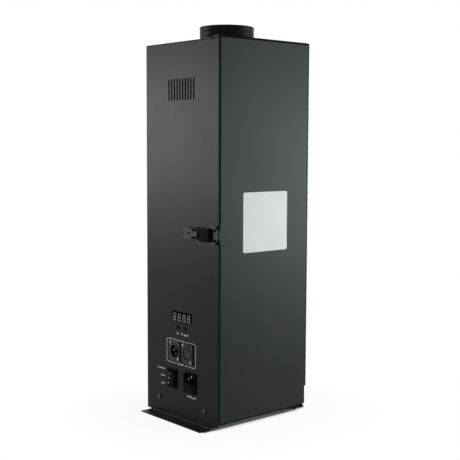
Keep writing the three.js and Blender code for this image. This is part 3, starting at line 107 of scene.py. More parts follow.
class Finish(Enum):
    """The machine's finishes. The material of each has its name in small letters."""

    POWDER_COAT = Look((0.0045, 0.0045, 0.0042), (0.0038, 0.0038, 0.0035), (0.36, 0.4), specular=0.1,
                       grain=0.55, bump=0.012, patch=60)
    DOOR_COAT = Look((0.0085, 0.0095, 0.0102), (0.0075, 0.0085, 0.0092), (0.4, 0.44), specular=0.14,
                     grain=0.55, bump=0.012, patch=70, tint=(0.86, 1.0, 1.0))
    BLACK_STEEL = Look((0.006, 0.006, 0.0063), (0.009, 0.009, 0.009), (0.3, 0.38), specular=0.22, grain=0.3,
                       bump=0.012, patch=12)
    LATCH_GREY = Look((0.0075, 0.0075, 0.0075), (0.0095, 0.0095, 0.0095), (0.3, 0.36), specular=0.16,
                      grain=0.3, bump=0.008, patch=9)
    # Near-black of the latch's base, draw link and keeper rivets; the same material is painted shade on the top
    # lip's ledge and groove.
    LINK_BLACK_AND_SHADE = Look((0.0022, 0.0022, 0.0024), (0.003, 0.003, 0.0032), (0.16, 0.22), specular=0.03,
                      grain=0.3, bump=0.004, patch=9)
    # Painted highlight: the pale colour of the draw link's upward and downward faces, where light catches its
    # edges.
    LINK_PAINTED_HIGHLIGHT = Look((0.16, 0.16, 0.16), (0.13, 0.13, 0.132), (0.3, 0.36), specular=0.3, grain=0.3,
                     bump=0.004, patch=9)
    BLACK_PLASTIC = Look((0.0022, 0.0022, 0.0024), (0.003, 0.003, 0.0032), (0.34, 0.42), specular=0.02,
                         grain=0.25, bump=0.01)
    GLOSS_PLASTIC = Look((0.002, 0.002, 0.0022), (0.003, 0.003, 0.0032), (0.18, 0.24), specular=0.03,
                         grain=0.4, bump=0.004)
    DARK_WINDOW = Look((0.0012, 0.0012, 0.0014), (0.0018, 0.0018, 0.002), (0.1, 0.14), specular=0.0,
                       grain=2.0, bump=0.001)
    DIGIT = Look((0.5, 0.51, 0.5), (0.44, 0.45, 0.44), (0.4, 0.5), specular=0.1, grain=0.3, bump=0.002)
    PIN_STEEL = Look((0.26, 0.26, 0.26), (0.2, 0.2, 0.21), (0.3, 0.4), metallic=1.0, grain=0.3, bump=0.006,
                     patch=5)
    SLEEVE_BRASS = Look((0.1, 0.07, 0.025), (0.08, 0.055, 0.02), (0.3, 0.4), metallic=1.0, grain=0.3,
                        bump=0.006, patch=5)
    PRINT_WHITE = Look((0.62, 0.66, 0.645), (0.57, 0.61, 0.595), (0.5, 0.6), grain=0.2, bump=0.004, patch=25)
    LEGEND_WHITE = Look((0.6, 0.62, 0.6), (0.5, 0.52, 0.5), (0.5, 0.6), grain=0.2, bump=0.003, patch=8)
    ZINC = Look((0.52, 0.53, 0.55), (0.42, 0.43, 0.46), (0.3, 0.45), metallic=1.0, grain=0.6, bump=0.01,
                patch=9)
    STEEL_BRIGHT = Look((0.62, 0.62, 0.62), (0.5, 0.5, 0.51), (0.16, 0.28), metallic=1.0, grain=0.3,
                        bump=0.006, patch=5)
    BRASS = Look((0.62, 0.43, 0.14), (0.5, 0.33, 0.1), (0.2, 0.34), metallic=1.0, grain=0.3, bump=0.006,
                 patch=5)
    HEAT_STEEL = Look((0.2, 0.17, 0.15), (0.1, 0.09, 0.11), (0.35, 0.55), metallic=1.0, grain=0.8, bump=0.02,
                      patch=14)
    CERAMIC = Look((0.74, 0.72, 0.65), (0.68, 0.65, 0.56), (0.12, 0.2), grain=1.0, bump=0.004, coat=0.4)
    BOARD = Look((0.012, 0.1, 0.035), (0.01, 0.07, 0.025), (0.3, 0.42), grain=0.8, bump=0.02, patch=4)
    CAN_PAINT = Look((0.5, 0.52, 0.55), (0.46, 0.48, 0.51), (0.24, 0.32), metallic=0.85, grain=0.3,
                     bump=0.003, coat=0.3)
    CAN_BAND = Look((0.03, 0.06, 0.12), (0.025, 0.05, 0.1), (0.24, 0.32), grain=0.3, bump=0.003, coat=0.3)
    COPPER = Look((0.5, 0.17, 0.06), (0.38, 0.12, 0.04), (0.25, 0.36), metallic=0.9, grain=0.3, bump=0.01,
                  stretch=(1, 1, 0.05))
    RESIN = Look((0.012, 0.012, 0.013), (0.018, 0.018, 0.019), (0.35, 0.5), grain=0.9, bump=0.02, patch=10)
    GLASS = Look((0.85, 0.87, 0.87), (0.8, 0.82, 0.82), (0.02, 0.04), grain=2.0, bump=0.0, transmission=0.9)
    RED_LENS = Look((0.012, 0.003, 0.003), (0.009, 0.0025, 0.0025), (0.25, 0.3), specular=0.04, grain=1.0,
                    bump=0.002)
    COLLAR_COAT = Look((0.003, 0.003, 0.003), (0.004, 0.004, 0.004), (0.34, 0.4), specular=0.06, grain=0.5,
                       bump=0.015, patch=14)
    SCREW_PLATED = Look((0.16, 0.155, 0.15), (0.12, 0.115, 0.11), (0.25, 0.35), metallic=1.0, grain=0.3,
                        bump=0.006, patch=3)
    SCREW_BLACK = Look((0.02, 0.018, 0.016), (0.03, 0.026, 0.022), (0.25, 0.35), metallic=0.5, grain=0.3,
                       bump=0.006, patch=3)
    RELAY_BLUE = Look((0.03, 0.07, 0.22), (0.025, 0.06, 0.19), (0.3, 0.4), grain=0.3, bump=0.006, patch=6)
    # Painted shade: the near-black of the screws' cross recesses.
    PAINTED_RECESS_SHADE = Look((0.003, 0.003, 0.003), (0.004, 0.004, 0.004), (0.6, 0.7), specular=0.2)


class Finishes:
    """Makes the material of each finish once, from one shared node group."""

    def __init__(self) -> None:
        """Builds the shared group and starts without materials."""
        self._made: dict[Finish, bpy.types.Material] = {}
        self._group = self._surface_group()

    @staticmethod
    def _surface_group() -> bpy.types.NodeTree:
        """Builds the fine grain for the bump, and the slow patches for colour and roughness.

        Returns:
            The node group, which reads the model's own space.
        """
        group = bpy.data.node_groups.new("SurfaceGrain", "ShaderNodeTree")
        for way, sockets in (
                ("INPUT", (("Base", "Color"), ("Second", "Color"),
                           ("Rough low", "Float"), ("Rough high", "Float"),
                           ("Grain scale", "Float"), ("Patch scale", "Float"), ("Bump height", "Float"),
                           ("Stretch", "Vector"))),
                ("OUTPUT", (("Colour", "Color"), ("Roughness", "Float"), ("Normal", "Vector")))):
            for name, kind in sockets:
                group.interface.new_socket(name=name, in_out=way, socket_type=f"NodeSocket{kind}")
        nodes, links = group.nodes, group.links
        enter, leave = nodes.new("NodeGroupInput"), nodes.new("NodeGroupOutput")
        place = nodes.new("ShaderNodeTexCoord")
        stretch = nodes.new("ShaderNodeVectorMath")
        stretch.operation = "MULTIPLY"
        links.new(place.outputs["Object"], stretch.inputs[0])
        links.new(enter.outputs["Stretch"], stretch.inputs[1])
        grain, patch = nodes.new("ShaderNodeTexNoise"), nodes.new("ShaderNodeTexNoise")
        grain.inputs["Detail"].default_value = 3
        patch.inputs["Detail"].default_value = 5
        patch.inputs["Roughness"].default_value = 0.6
        for noise, scale in ((grain, "Grain scale"), (patch, "Patch scale")):
            links.new(stretch.outputs[0], noise.inputs["Vector"])
            links.new(enter.outputs[scale], noise.inputs["Scale"])
        mix = nodes.new("ShaderNodeMix")
        mix.data_type = "RGBA"
        links.new(patch.outputs["Fac"], mix.inputs["Factor"])
        links.new(enter.outputs["Base"], mix.inputs["A"])
        links.new(enter.outputs["Second"], mix.inputs["B"])
        rough = nodes.new("ShaderNodeMapRange")
        rough.inputs["From Min"].default_value = 0.3
        rough.inputs["From Max"].default_value = 0.7
        links.new(patch.outputs["Fac"], rough.inputs["Value"])
        links.new(enter.outputs["Rough low"], rough.inputs["To Min"])
        links.new(enter.outputs["Rough high"], rough.inputs["To Max"])
        bump = nodes.new("ShaderNodeBump")
        bump.inputs["Strength"].default_value = 1.0
        links.new(enter.outputs["Bump height"], bump.inputs["Distance"])
        links.new(grain.outputs["Fac"], bump.inputs["Height"])
        links.new(mix.outputs["Result"], leave.inputs["Colour"])
        links.new(rough.outputs["Result"], leave.inputs["Roughness"])
        links.new(bump.outputs["Normal"], leave.inputs["Normal"])
        return group

    def __getitem__(self, finish: Finish) -> bpy.types.Material:
        """Gives the material of a finish, made when it is first asked for.

        Args:
            finish: The finish.

        Returns:
            Its material.
        """
        if finish not in self._made:
            self._made[finish] = self._make(finish.name.lower(), finish.value)
        return self._made[finish]

    def _make(self, name: str, look: Look) -> bpy.types.Material:
        """Makes one material around the shared group.

        Args:
            name: The material's name.
            look: Its colours and measures.

        Returns:
            The material.
        """
        material = bpy.data.materials.new(name)
        material.use_nodes = True
        nodes, links = material.node_tree.nodes, material.node_tree.links
        shader, grain = nodes["Principled BSDF"], nodes.new("ShaderNodeGroup")
        grain.node_tree = self._group
        for socket, value in (("Base", (*look.base, 1.0)), ("Second", (*look.second, 1.0)),
                              ("Rough low", look.roughness[0]), ("Rough high", look.roughness[1]),
                              ("Grain scale", 1.0 / (look.grain * MM)),
                              ("Patch scale", 1.0 / (look.patch * MM)),
                              ("Bump height", look.bump * MM), ("Stretch", look.stretch)):
            grain.inputs[socket].default_value = value
        for source, target in (("Colour", "Base Color"), ("Roughness", "Roughness"), ("Normal", "Normal")):
            links.new(grain.outputs[source], shader.inputs[target])
        for socket, value in (("Metallic", look.metallic), ("Specular IOR Level", look.specular),
                              ("Specular Tint", (*look.tint, 1.0)), ("Coat Weight", look.coat),
                              ("Transmission Weight", look.transmission)):
            shader.inputs[socket].default_value = value
        return material


# Geometry


@dataclass(frozen=True)
class Box:
    """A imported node's box at rest."""

    low: Vector
    high: Vector

    @classmethod
    def of(cls, node: str) -> "Box":
        """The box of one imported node, in millimetres."""
        low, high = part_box(node)
        return cls(low / MM, high / MM)

    @property
    def middle(self) -> Vector:
        """The point half way between the corners."""
        return (self.low + self.high) / 2

    @property
    def size(self) -> Vector:
        """The lengths of the sides."""
        return self.high - self.low


class Axis(Enum):
    """Where a turned or extruded form points. The value turns local +Z to that direction."""

    UP = Matrix.Identity(3)
    OUT_FRONT = Matrix(((1, 0, 0), (0, 0, -1), (0, 1, 0)))
    OUT_REAR = Matrix(((-1, 0, 0), (0, 0, 1), (0, 1, 0)))
    OUT_DOOR = Matrix(((0, 0, 1), (1, 0, 0), (0, 1, 0)))


class Form:
    """A mesh that is built up part by part with bmesh's operators and then becomes one piece of the scene."""

    def __init__(self, name: str, finish: Finish) -> None:
        """Starts an empty form.

        Args:
            name: The piece's name.
            finish: The finish of the parts that name none of their own.
        """
        self.name = name
        self.finishes = [finish]
        self.bm = bmesh.new()

    def add(self, part: bmesh.types.BMesh, axis: Axis = Axis.UP, centre: Sequence[float] = (0, 0, 0),
            finish: Finish | None = None) -> "Form":
        """Closes a part's poles, turns and moves it into its place and joins it to the form.

        Args:
            part: The part in millimetres, made about the origin with its axis along +Z. It is freed.
            axis: Where its +Z points.
            centre: Where its origin goes.
            finish: Its own finish, or None for the form's.

        Returns:
            The form itself.
        """
        if finish is not None and finish not in self.finishes:
            self.finishes.append(finish)
        slot = self.finishes.index(finish) if finish else 0
        bmesh.ops.remove_doubles(part, verts=part.verts, dist=MERGE)
        bmesh.ops.recalc_face_normals(part, faces=part.faces)
        place = Matrix.Scale(MM, 4) @ Matrix.Translation(Vector(centre)) @ axis.value.to_4x4()
        bmesh.ops.transform(part, matrix=place, verts=part.verts)
        for face in part.faces:
            face.material_index = slot
        carrier = poured(self.name, part)
        self.bm.from_mesh(carrier)
        bpy.data.meshes.remove(carrier)
        return self

    def lathe(self, profile: Sequence[Point2], centre: Sequence[float] = (0, 0, 0), axis: Axis = Axis.UP,
              sides: int = 64, finish: Finish | None = None, closed: bool = False) -> "Form":
        """Turns a profile about the axis.

        Args:
            profile: Pairs of radius and height.
            centre: Where the profile's origin goes.
            axis: Where the turning axis points.
            sides: Steps round the axis.
            finish: The part's own finish.
            closed: Whether the profile is a ring, as for a tube.

        Returns:
            The form itself.
        """
        part = bmesh.new()
        points = [part.verts.new((radius, 0.0, height)) for radius, height in profile]
        chain = list(zip(points, points[1:])) + ([(points[-1], points[0])] if closed else [])
        edges = [part.edges.new(pair) for pair in chain]
        bmesh.ops.spin(part, geom=[*points, *edges], cent=(0, 0, 0), axis=(0, 0, 1), dvec=(0, 0, 0),
                       angle=FULL_TURN, steps=sides, use_merge=True)
        return self.add(part, axis, centre, finish)

    def slab(self, outline: Sequence[Sequence[float]], low: float, high: float,
             centre: Sequence[float] = (0, 0, 0), axis: Axis = Axis.UP, finish: Finish | None = None) -> "Form":
        """Extrudes a flat outline along the axis.

        Args:
            outline: The corners in order.
            low: Where along the axis it starts.
            high: Where it ends.
            centre: Where the outline's origin goes.
            axis: Where the extrusion points.
            finish: The part's own finish.

        Returns:
            The form itself.
        """
        part = bmesh.new()
        part.faces.new([part.verts.new((u, v, low)) for u, v in outline])
        self._thicken(part, high - low)
        return self.add(part, axis, centre, finish)

    @staticmethod
    def _thicken(part: bmesh.types.BMesh, rise: float) -> None:
        """Extrudes a flat part upwards into a closed one."""
        raised = bmesh.ops.extrude_face_region(part, geom=part.faces[:])["geom"]
        bmesh.ops.translate(part, vec=(0, 0, rise),
                            verts=[v for v in raised if isinstance(v, bmesh.types.BMVert)])

    def tube(self, path: Sequence[Vector], radius: float, sides: int = 12) -> "Form":
        """Draws a round section along a path, with flat ends.

        Args:
            path: The points of its middle line.
            radius: The section's radius.
            sides: Steps round the section.

        Returns:
            The form itself.
        """
        part = bmesh.new()
        frames: list[Matrix] = []
        side, steep = Vector((0, 0, 1)), 0.9
        for k, point in enumerate(path):
            ahead = (path[min(k + 1, len(path) - 1)] - path[max(k - 1, 0)]).normalized()
            if k == 0 and abs(ahead.dot(side)) > steep:
                side = Vector((1, 0, 0))
            side = (side - ahead * side.dot(ahead)).normalized()
            turn = Matrix((side, ahead.cross(side), ahead)).transposed()
            frames.append(Matrix.Translation(point) @ turn.to_4x4())
        bmesh.ops.create_circle(part, cap_ends=True, segments=sides, radius=radius, matrix=frames[0])
        cap = part.faces[:]
        for before, after in zip(frames, frames[1:]):
            grown = bmesh.ops.extrude_face_region(part, geom=cap)["geom"]
            if before is not frames[0]:
                bmesh.ops.delete(part, geom=cap, context="FACES_ONLY")
            cap = [item for item in grown if isinstance(item, bmesh.types.BMFace)]
            bmesh.ops.transform(part, matrix=after @ before.inverted(), verts=list(cap[0].verts))
        return self.add(part)

    def stroke(self, path: Sequence[Point2], width: float, low: float, high: float, centre: Sequence[float],
               closed: bool = False) -> "Form":
        """Lays a flat line along a path of points, facing out of the front wall.

        Args:
            path: The points of its middle line.
            width: The line's width.
            low: Where along the axis it starts.
            high: Where along the axis it ends.
            centre: Where the path's origin goes.
            closed: Whether the line runs back to its first point.

        Returns:
            The form itself.
        """
        points = [Vector(point) for point in path]
        rails: list[tuple[Vector, Vector]] = []
        for k, point in enumerate(points):
            before = points[k - 1] if closed or k else None
            after = points[(k + 1) % len(points)] if closed or k < len(points) - 1 else None
            runs = [(far - near).normalized()
                    for near, far in ((before, point), (point, after)) if near and far]
            along = sum(runs, Vector((0, 0))).normalized()
            across = Vector((-along.y, along.x))
            reach = width / 2 / max(0.4, abs(across.dot(Vector((-runs[0].y, runs[0].x)))))
            rails.append((point + across * reach, point - across * reach))
        part = bmesh.new()
        left, right = (part.verts.new((*rail, low)) for rail in rails[0])
        edge = part.edges.new((left, right))
        for near, far in [*rails[1:], *(rails[:1] if closed else [])]:
            grown = bmesh.ops.extrude_edge_only(part, edges=[edge])["geom"]
            edge = next(item for item in grown if isinstance(item, bmesh.types.BMEdge))
            old_left = left.co.copy()
            left, right = sorted(edge.verts, key=lambda vert: (vert.co - old_left).length)
            left.co, right.co = (*near, low), (*far, low)
        bmesh.ops.remove_doubles(part, verts=part.verts, dist=MERGE)
        self._thicken(part, high - low)
        return self.add(part, Axis.OUT_FRONT, centre)

    def shown(self, finishes: Finishes) -> bpy.types.Object:
        """Makes the form an object, with faces that point outwards.

        Args:
            finishes: Where the materials come from.

        Returns:
            The object, as yet on no body.
        """
        bmesh.ops.recalc_face_normals(self.bm, faces=self.bm.faces)
        mesh = poured(self.name, self.bm)
        for finish in self.finishes:
            mesh.materials.append(finishes[finish])
        return linked(self.name, mesh)


def poured(name: str, bm: bmesh.types.BMesh) -> bpy.types.Mesh:
    """Turns a bmesh into a mesh and frees it.

    Args:
        name: The mesh's name.
        bm: The bmesh, which is freed.

    Returns:
        The mesh.
    """
    mesh = bpy.data.meshes.new(name)
    bm.to_mesh(mesh)
    bm.free()
    return mesh


def linked(name: str, mesh: bpy.types.Mesh) -> bpy.types.Object:
    """Shows a mesh as an object at the origin.

    Args:
        name: The object's name.
        mesh: What it shows.

    Returns:
        The object.
    """
    piece = bpy.data.objects.new(name, mesh)
    bpy.context.scene.collection.objects.link(piece)
    return piece


def settle(piece: bpy.types.Object, body: Body, replaces: Sequence[str] = (), bevel: float = 0.0,
           smooth: float = SMOOTH) -> bpy.types.Object:
    """Rounds a piece's sharp edges, shades it by angle and lets it ride on its body.

    Args:
        piece: The piece, in its place.
        body: The body that it rides on.
        replaces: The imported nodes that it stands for.
        bevel: The width of the rounding, or 0 for none.
        smooth: The angle in degrees from which an edge counts as sharp.

    Returns:
        The piece.
    """
    shade_by_angle(piece.data, math.radians(smooth))
    if bevel > 0:
        rounding = piece.modifiers.new("rounding", "BEVEL")
        rounding.width = bevel * MM
        rounding.segments = 2
        rounding.limit_method = "ANGLE"
        rounding.angle_limit = math.radians(smooth)
        rounding.use_clamp_overlap = True
        apply_modifiers(piece)
        shade_by_angle(piece.data, math.radians(smooth))
    level = piece.modifiers.new("level", "WEIGHTED_NORMAL")
    level.mode = "FACE_AREA"
    level.keep_sharp = True
    apply_modifiers(piece)
    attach(piece, body.value)
    if replaces:
        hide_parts(*replaces)
    return piece


def apply_modifiers(piece: bpy.types.Object) -> None:
    """Turns a piece's modifiers into plain geometry.

    Args:
        piece: The piece whose mesh is replaced.
    """
    graph = bpy.context.evaluated_depsgraph_get()
    made = bpy.data.meshes.new_from_object(piece.evaluated_get(graph))
    piece.modifiers.clear()
    piece.data = made


def shade_by_angle(mesh: bpy.types.Mesh, limit: float) -> None:
    """Shades smoothly everywhere, except over sharp and open edges.

    Args:
        mesh: The mesh that is shaded.
        limit: The angle in radians from which an edge is sharp.
    """
    bm = bmesh.new()
    bm.from_mesh(mesh)
    for face in bm.faces:
        face.smooth = True
    for edge in bm.edges:
        edge.smooth = len(edge.link_faces) == 2 and edge.calc_face_angle(0.0) < limit
    bm.to_mesh(mesh)
    bm.free()


def cut_away(piece: bpy.types.Object, cutter: bpy.types.Object, keep_finish: bool = False) -> None:
    """Takes the cutter's space out of a piece and removes the cutter.

    Args:
        piece: What is cut.
        cutter: A closed shape.
        keep_finish: Whether the cut faces keep the cutter's finish, and the cutter's own parts may overlap.
    """
    cut = piece.modifiers.new("cut", "BOOLEAN")
    cut.operation = "DIFFERENCE"
    cut.solver = "EXACT"
    cut.object = cutter
    if keep_finish:
        cut.use_self = True
        cut.material_mode = "TRANSFER"
    bpy.context.view_layer.update()
    apply_modifiers(piece)
    bpy.data.objects.remove(cutter)


def rounded_rectangle(width: float, height: float, radius: float, steps: int = 6,
                      centre: Point2 = (0.0, 0.0)) -> list[Point2]:
    """Draws a rectangle with round corners, anticlockwise.

    Args:
        width: Its size along the first direction.
        height: Its size along the second.
        radius: The corners' radius.
        steps: Steps in each corner.
        centre: Its middle.

    Returns:
        The outline's points, starting at the corner that is high in both directions.
    """
    points = []
    for k, (su, sv) in enumerate(((1, 1), (-1, 1), (-1, -1), (1, -1))):
        cu, cv = centre[0] + su * (width / 2 - radius), centre[1] + sv * (height / 2 - radius)
        for step in range(steps + 1):
            angle = math.pi / 2 * (k + step / steps)
            points.append((cu + radius * math.cos(angle), cv + radius * math.sin(angle)))
    return points


def ring_outline(u: float, v: float, radius: float, sides: int) -> list[Point2]:
    """Draws a circle as an outline.

    Args:
        u: Its middle along the first direction.
        v: Its middle along the second.
        radius: Its radius.
        sides: Steps round it.

    Returns:
        The outline's points.
    """
    return [(u + radius * math.cos(FULL_TURN * k / sides), v + radius * math.sin(FULL_TURN * k / sides))
            for k in range(sides)]


# Studio


@dataclass(frozen=True)
class PhotoCamera:
    """The fitted camera of the photograph, in the model's frame. Angles are in degrees."""

    place_mm: tuple[float, float, float] = (1098.1, -944.95, 420.8)
    azimuth: float = 49.051
    pitch: float = 5.305
    roll: float = 0.224
    focal_pixels: float = 933.56
    image_pixels: float = 460.0
    sensor_mm: float = 36.0
    nearest: float = 0.01
    farthest: float = 50.0


@dataclass(frozen=True)
class Softbox:
    """A lamp that hangs on a sphere round the machine, with angles in degrees and power in watts."""

    name: str
    azimuth: float
    rise: float
    size: tuple[float, float]
    power: float
    reach: float = 1.8


@dataclass(frozen=True)
class ContactShade:
    """Where the floor shows its own shade instead of plain white: half a footprint, and how far it fades."""

    half: Point2
    reach: float
    at_reach: float


@dataclass
class Studio:
    """Camera, pale floor, pale surround and soft lamps."""

    camera: PhotoCamera = PhotoCamera()
    softboxes: tuple[Softbox, ...] = (Softbox("softbox_left", 221.0, 2.0, (0.8, 0.45), 14.0),
                                      Softbox("softbox_right", 52.0, -3.0, (0.8, 0.6), 21.0),
                                      Softbox("softbox_high", 41.0, 50.0, (0.8, 0.5), 18.0))
    lamps_aim: tuple[float, float, float] = (0.0, 0.0, 0.42)
    floor_radius: float = 14.0
    floor_drop: float = 0.0002
    floor_tone: float = 0.8
    floor_roughness: float = 0.9
    floor_specular: float = 0.1
    white_reach: float = 0.2
    shades: tuple[ContactShade, ...] = (ContactShade((0.056, 0.075), 0.028, 0.93),
                                        ContactShade((0.0705, 0.102), 0.003, 1.0))
    surround: float = 0.12

    def build(self) -> None:
        """Builds the studio and sets the view transform."""
        self.make_camera()
        self.make_floor()
        self.make_world()
        for softbox in self.softboxes:
            self.hang(softbox)
        bpy.context.scene.view_settings.view_transform = "Standard"
        bpy.context.scene.view_settings.look = "None"

    def make_camera(self) -> None:
        """Stands the camera where the photograph was taken from."""
        fitted = self.camera
        turn, pitch, roll = (math.radians(v) for v in (fitted.azimuth, fitted.pitch, fitted.roll))
        back = Vector((math.sin(turn) * math.cos(pitch), -math.cos(turn) * math.cos(pitch), math.sin(pitch)))
        level = Vector((math.cos(turn), math.sin(turn), 0))
        above = back.cross(level)
        right = math.cos(roll) * level + math.sin(roll) * above
        up = -math.sin(roll) * level + math.cos(roll) * above
        data = bpy.data.cameras.new("photo_camera")
        data.sensor_width = fitted.sensor_mm
        data.lens = fitted.focal_pixels / fitted.image_pixels * data.sensor_width
        data.clip_start, data.clip_end = fitted.nearest, fitted.farthest
        view = bpy.data.objects.new("photo_camera", data)
        view.matrix_world = (Matrix.Translation(Vector(fitted.place_mm) * MM)
                             @ Matrix((right, up, back)).transposed().to_4x4())
        bpy.context.scene.collection.objects.link(view)
        bpy.context.scene.camera = view

    def make_floor(self) -> None:
        """Lays a pale floor that shows white, except under the machine and close round it."""
        disc = bmesh.new()
        bmesh.ops.create_circle(disc, cap_ends=True, segments=96, radius=self.floor_radius)
        floor = linked("floor", poured("floor", disc))
        floor.location.z = -self.floor_drop
        material = bpy.data.materials.new("pale_floor")
        material.use_nodes = True
        tree = material.node_tree
        shader = tree.nodes["Principled BSDF"]
        shader.inputs["Base Color"].default_value = (*[self.floor_tone] * 3, 1)
        shader.inputs["Roughness"].default_value = self.floor_roughness
        shader.inputs["Specular IOR Level"].default_value = self.floor_specular
        white = tree.nodes.new("ShaderNodeEmission")
        white.inputs["Color"].default_value = (1, 1, 1, 1)
        white.inputs["Strength"].default_value = 1.0
        total = self.seen(tree, 1.0, 0.0)
        for shade in self.shades:
            share = tree.nodes.new("ShaderNodeMath")
            share.operation = "MULTIPLY"
            tree.links.new(total, share.inputs[0])
            tree.links.new(self.clear_of(tree, shade), share.inputs[1])
            total = share.outputs["Value"]
        shown = tree.nodes.new("ShaderNodeMixShader")
        tree.links.new(total, shown.inputs["Fac"])
        tree.links.new(shader.outputs["BSDF"], shown.inputs[1])
        tree.links.new(white.outputs["Emission"], shown.inputs[2])
        tree.links.new(shown.outputs["Shader"], tree.nodes["Material Output"].inputs["Surface"])
        floor.data.materials.append(material)

    def clear_of(self, tree: bpy.types.NodeTree, shade: ContactShade) -> bpy.types.NodeSocket:
        """Builds a mask that is nought on a footprint, rises beside it and is one some way off.

        Args:
            tree: The floor's nodes.
            shade: The footprint and its fading.

        Returns:
            The mask's socket.
        """
        place = tree.nodes.new("ShaderNodeTexCoord").outputs["Object"]
        for operation, size in (("ABSOLUTE", (0.0, 0.0, 0.0)), ("SUBTRACT", (*shade.half, 0.0)),
                                ("MAXIMUM", (0.0, 0.0, 0.0)), ("LENGTH", (0.0, 0.0, 0.0))):
            step = tree.nodes.new("ShaderNodeVectorMath")
            step.operation = operation
            step.inputs[1].default_value = size
            tree.links.new(place, step.inputs[0])
            place = step.outputs["Value" if operation == "LENGTH" else "Vector"]
        scale = tree.nodes.new("ShaderNodeMath")
        scale.operation = "DIVIDE"
        scale.inputs[1].default_value = self.white_reach
        tree.links.new(place, scale.inputs[0])
        ramp = tree.nodes.new("ShaderNodeValToRGB")
        ramp.color_ramp.interpolation = "EASE"
        near, far = ramp.color_ramp.elements
        near.color, far.color = (0, 0, 0, 1), (1, 1, 1, 1)
        edge = ramp.color_ramp.elements.new(shade.reach / self.white_reach)
        edge.color = (*[shade.at_reach] * 3, 1)
        tree.links.new(scale.outputs["Value"], ramp.inputs["Fac"])
        return ramp.outputs["Color"]

    @staticmethod
    def seen(tree: bpy.types.NodeTree, shown: float, otherwise: float) -> bpy.types.NodeSocket:
        """Tells what the camera sees straight, mirrored or through glass from what only gives light.

        Args:
            tree: The material's or the world's nodes.
            shown: The strength for what is seen.
            otherwise: The strength as a light.

        Returns:
            The strength's socket.
        """
        path = tree.nodes.new("ShaderNodeLightPath")
        total = path.outputs["Is Camera Ray"]
        for kind in ("Is Glossy Ray", "Is Transmission Ray"):
            either = tree.nodes.new("ShaderNodeMath")
            either.operation = "MAXIMUM"
            tree.links.new(total, either.inputs[0])
            tree.links.new(path.outputs[kind], either.inputs[1])
            total = either.outputs["Value"]
        strength = tree.nodes.new("ShaderNodeMapRange")
        strength.inputs["To Min"].default_value = otherwise
        strength.inputs["To Max"].default_value = shown
        tree.links.new(total, strength.inputs["Value"])
        return strength.outputs["Result"]

    def make_world(self) -> None:
        """Surrounds everything with white that gives little light."""
        world = bpy.data.worlds.new("pale_surround")
        world.use_nodes = True
        sky = world.node_tree.nodes["Background"]
        sky.inputs["Color"].default_value = (1, 1, 1, 1)
        world.node_tree.links.new(self.seen(world.node_tree, 1.0, self.surround), sky.inputs["Strength"])
        bpy.context.scene.world = world

    def hang(self, softbox: Softbox) -> None:
        """Hangs one lamp so that it faces the machine.

        Args:
            softbox: The lamp's place, size and power.
        """
        turn, lift = math.radians(softbox.azimuth), math.radians(softbox.rise)
        data = bpy.data.lights.new(softbox.name, "AREA")
        data.shape = "RECTANGLE"
        data.size, data.size_y = softbox.size
        data.energy = softbox.power
        lamp = bpy.data.objects.new(softbox.name, data)
        away = Vector((math.cos(turn) * math.cos(lift), math.sin(turn) * math.cos(lift), math.sin(lift)))
        lamp.location = Vector(self.lamps_aim) + softbox.reach * away
        lamp.rotation_euler = (-away).to_track_quat("-Z", "Y").to_euler()
        bpy.context.scene.collection.objects.link(lamp)


# Assemblies

PLAIN_SOLIDS: dict[Finish, tuple[str, ...]] = {
    Finish.POWDER_COAT: ("cabinet_shell", "left_side_panel", "base_tray"),
    Finish.DOOR_COAT: ("door_panel",),
    Finish.BLACK_STEEL: (
        "outlet_collar", "body_hinge_leaf", "door_hinge_leaf", "hinge_pin", "latch_base", "latch_lever",
        "latch_link", "latch_keeper", "signal_in_socket", "signal_out_socket", "signal_out_release_tab",
        "signal_in_upper_screw",
        "signal_in_lower_screw", "signal_out_upper_screw", "signal_out_lower_screw", "base_screw_front_left",
        "base_screw_front_right", "base_screw_rear_left", "base_screw_rear_right"),
    Finish.BLACK_PLASTIC: ("door_magnet", "door_sensor", "button_up", "button_down", "mode_switch_housing",
                           "power_inlet"),
    Finish.GLOSS_PLASTIC: ("mode_switch_rocker", "fuse_drawer"),
    Finish.DARK_WINDOW: ("display_module",),
    Finish.STEEL_BRIGHT: ("latch_link_pin", "press_spring", "press_plunger", "signal_in_contacts",
                          "inlet_contacts"),
    Finish.ZINC: ("can_shelf", "nozzle_bracket", "can_clip", "can_cup", "power_supply", "tilt_switch"),
    Finish.HEAT_STEEL: ("heat_shield", "flame_tube", "left_electrode", "right_electrode"),
    Finish.COPPER: ("press_solenoid",),
    Finish.CAN_PAINT: ("fuel_can",),
    Finish.BRASS: ("nozzle_block", "nozzle"),
    Finish.CERAMIC: ("left_insulator", "right_insulator"),
    Finish.RESIN: ("ignition_transformer",),
    Finish.BOARD: ("control_board",),
    Finish.GLASS: ("fuse",),
}


@dataclass(frozen=True)
class Softening:
    """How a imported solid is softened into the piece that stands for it."""

    node: str
    finish: Finish
    body: Body = Body.CABINET
    bevel: float = 0.25
    shape: Callable[[bmesh.types.BMesh], None] | None = None
    second: Finish | None = None
    where: Callable[[bpy.types.MeshPolygon], bool] | None = None


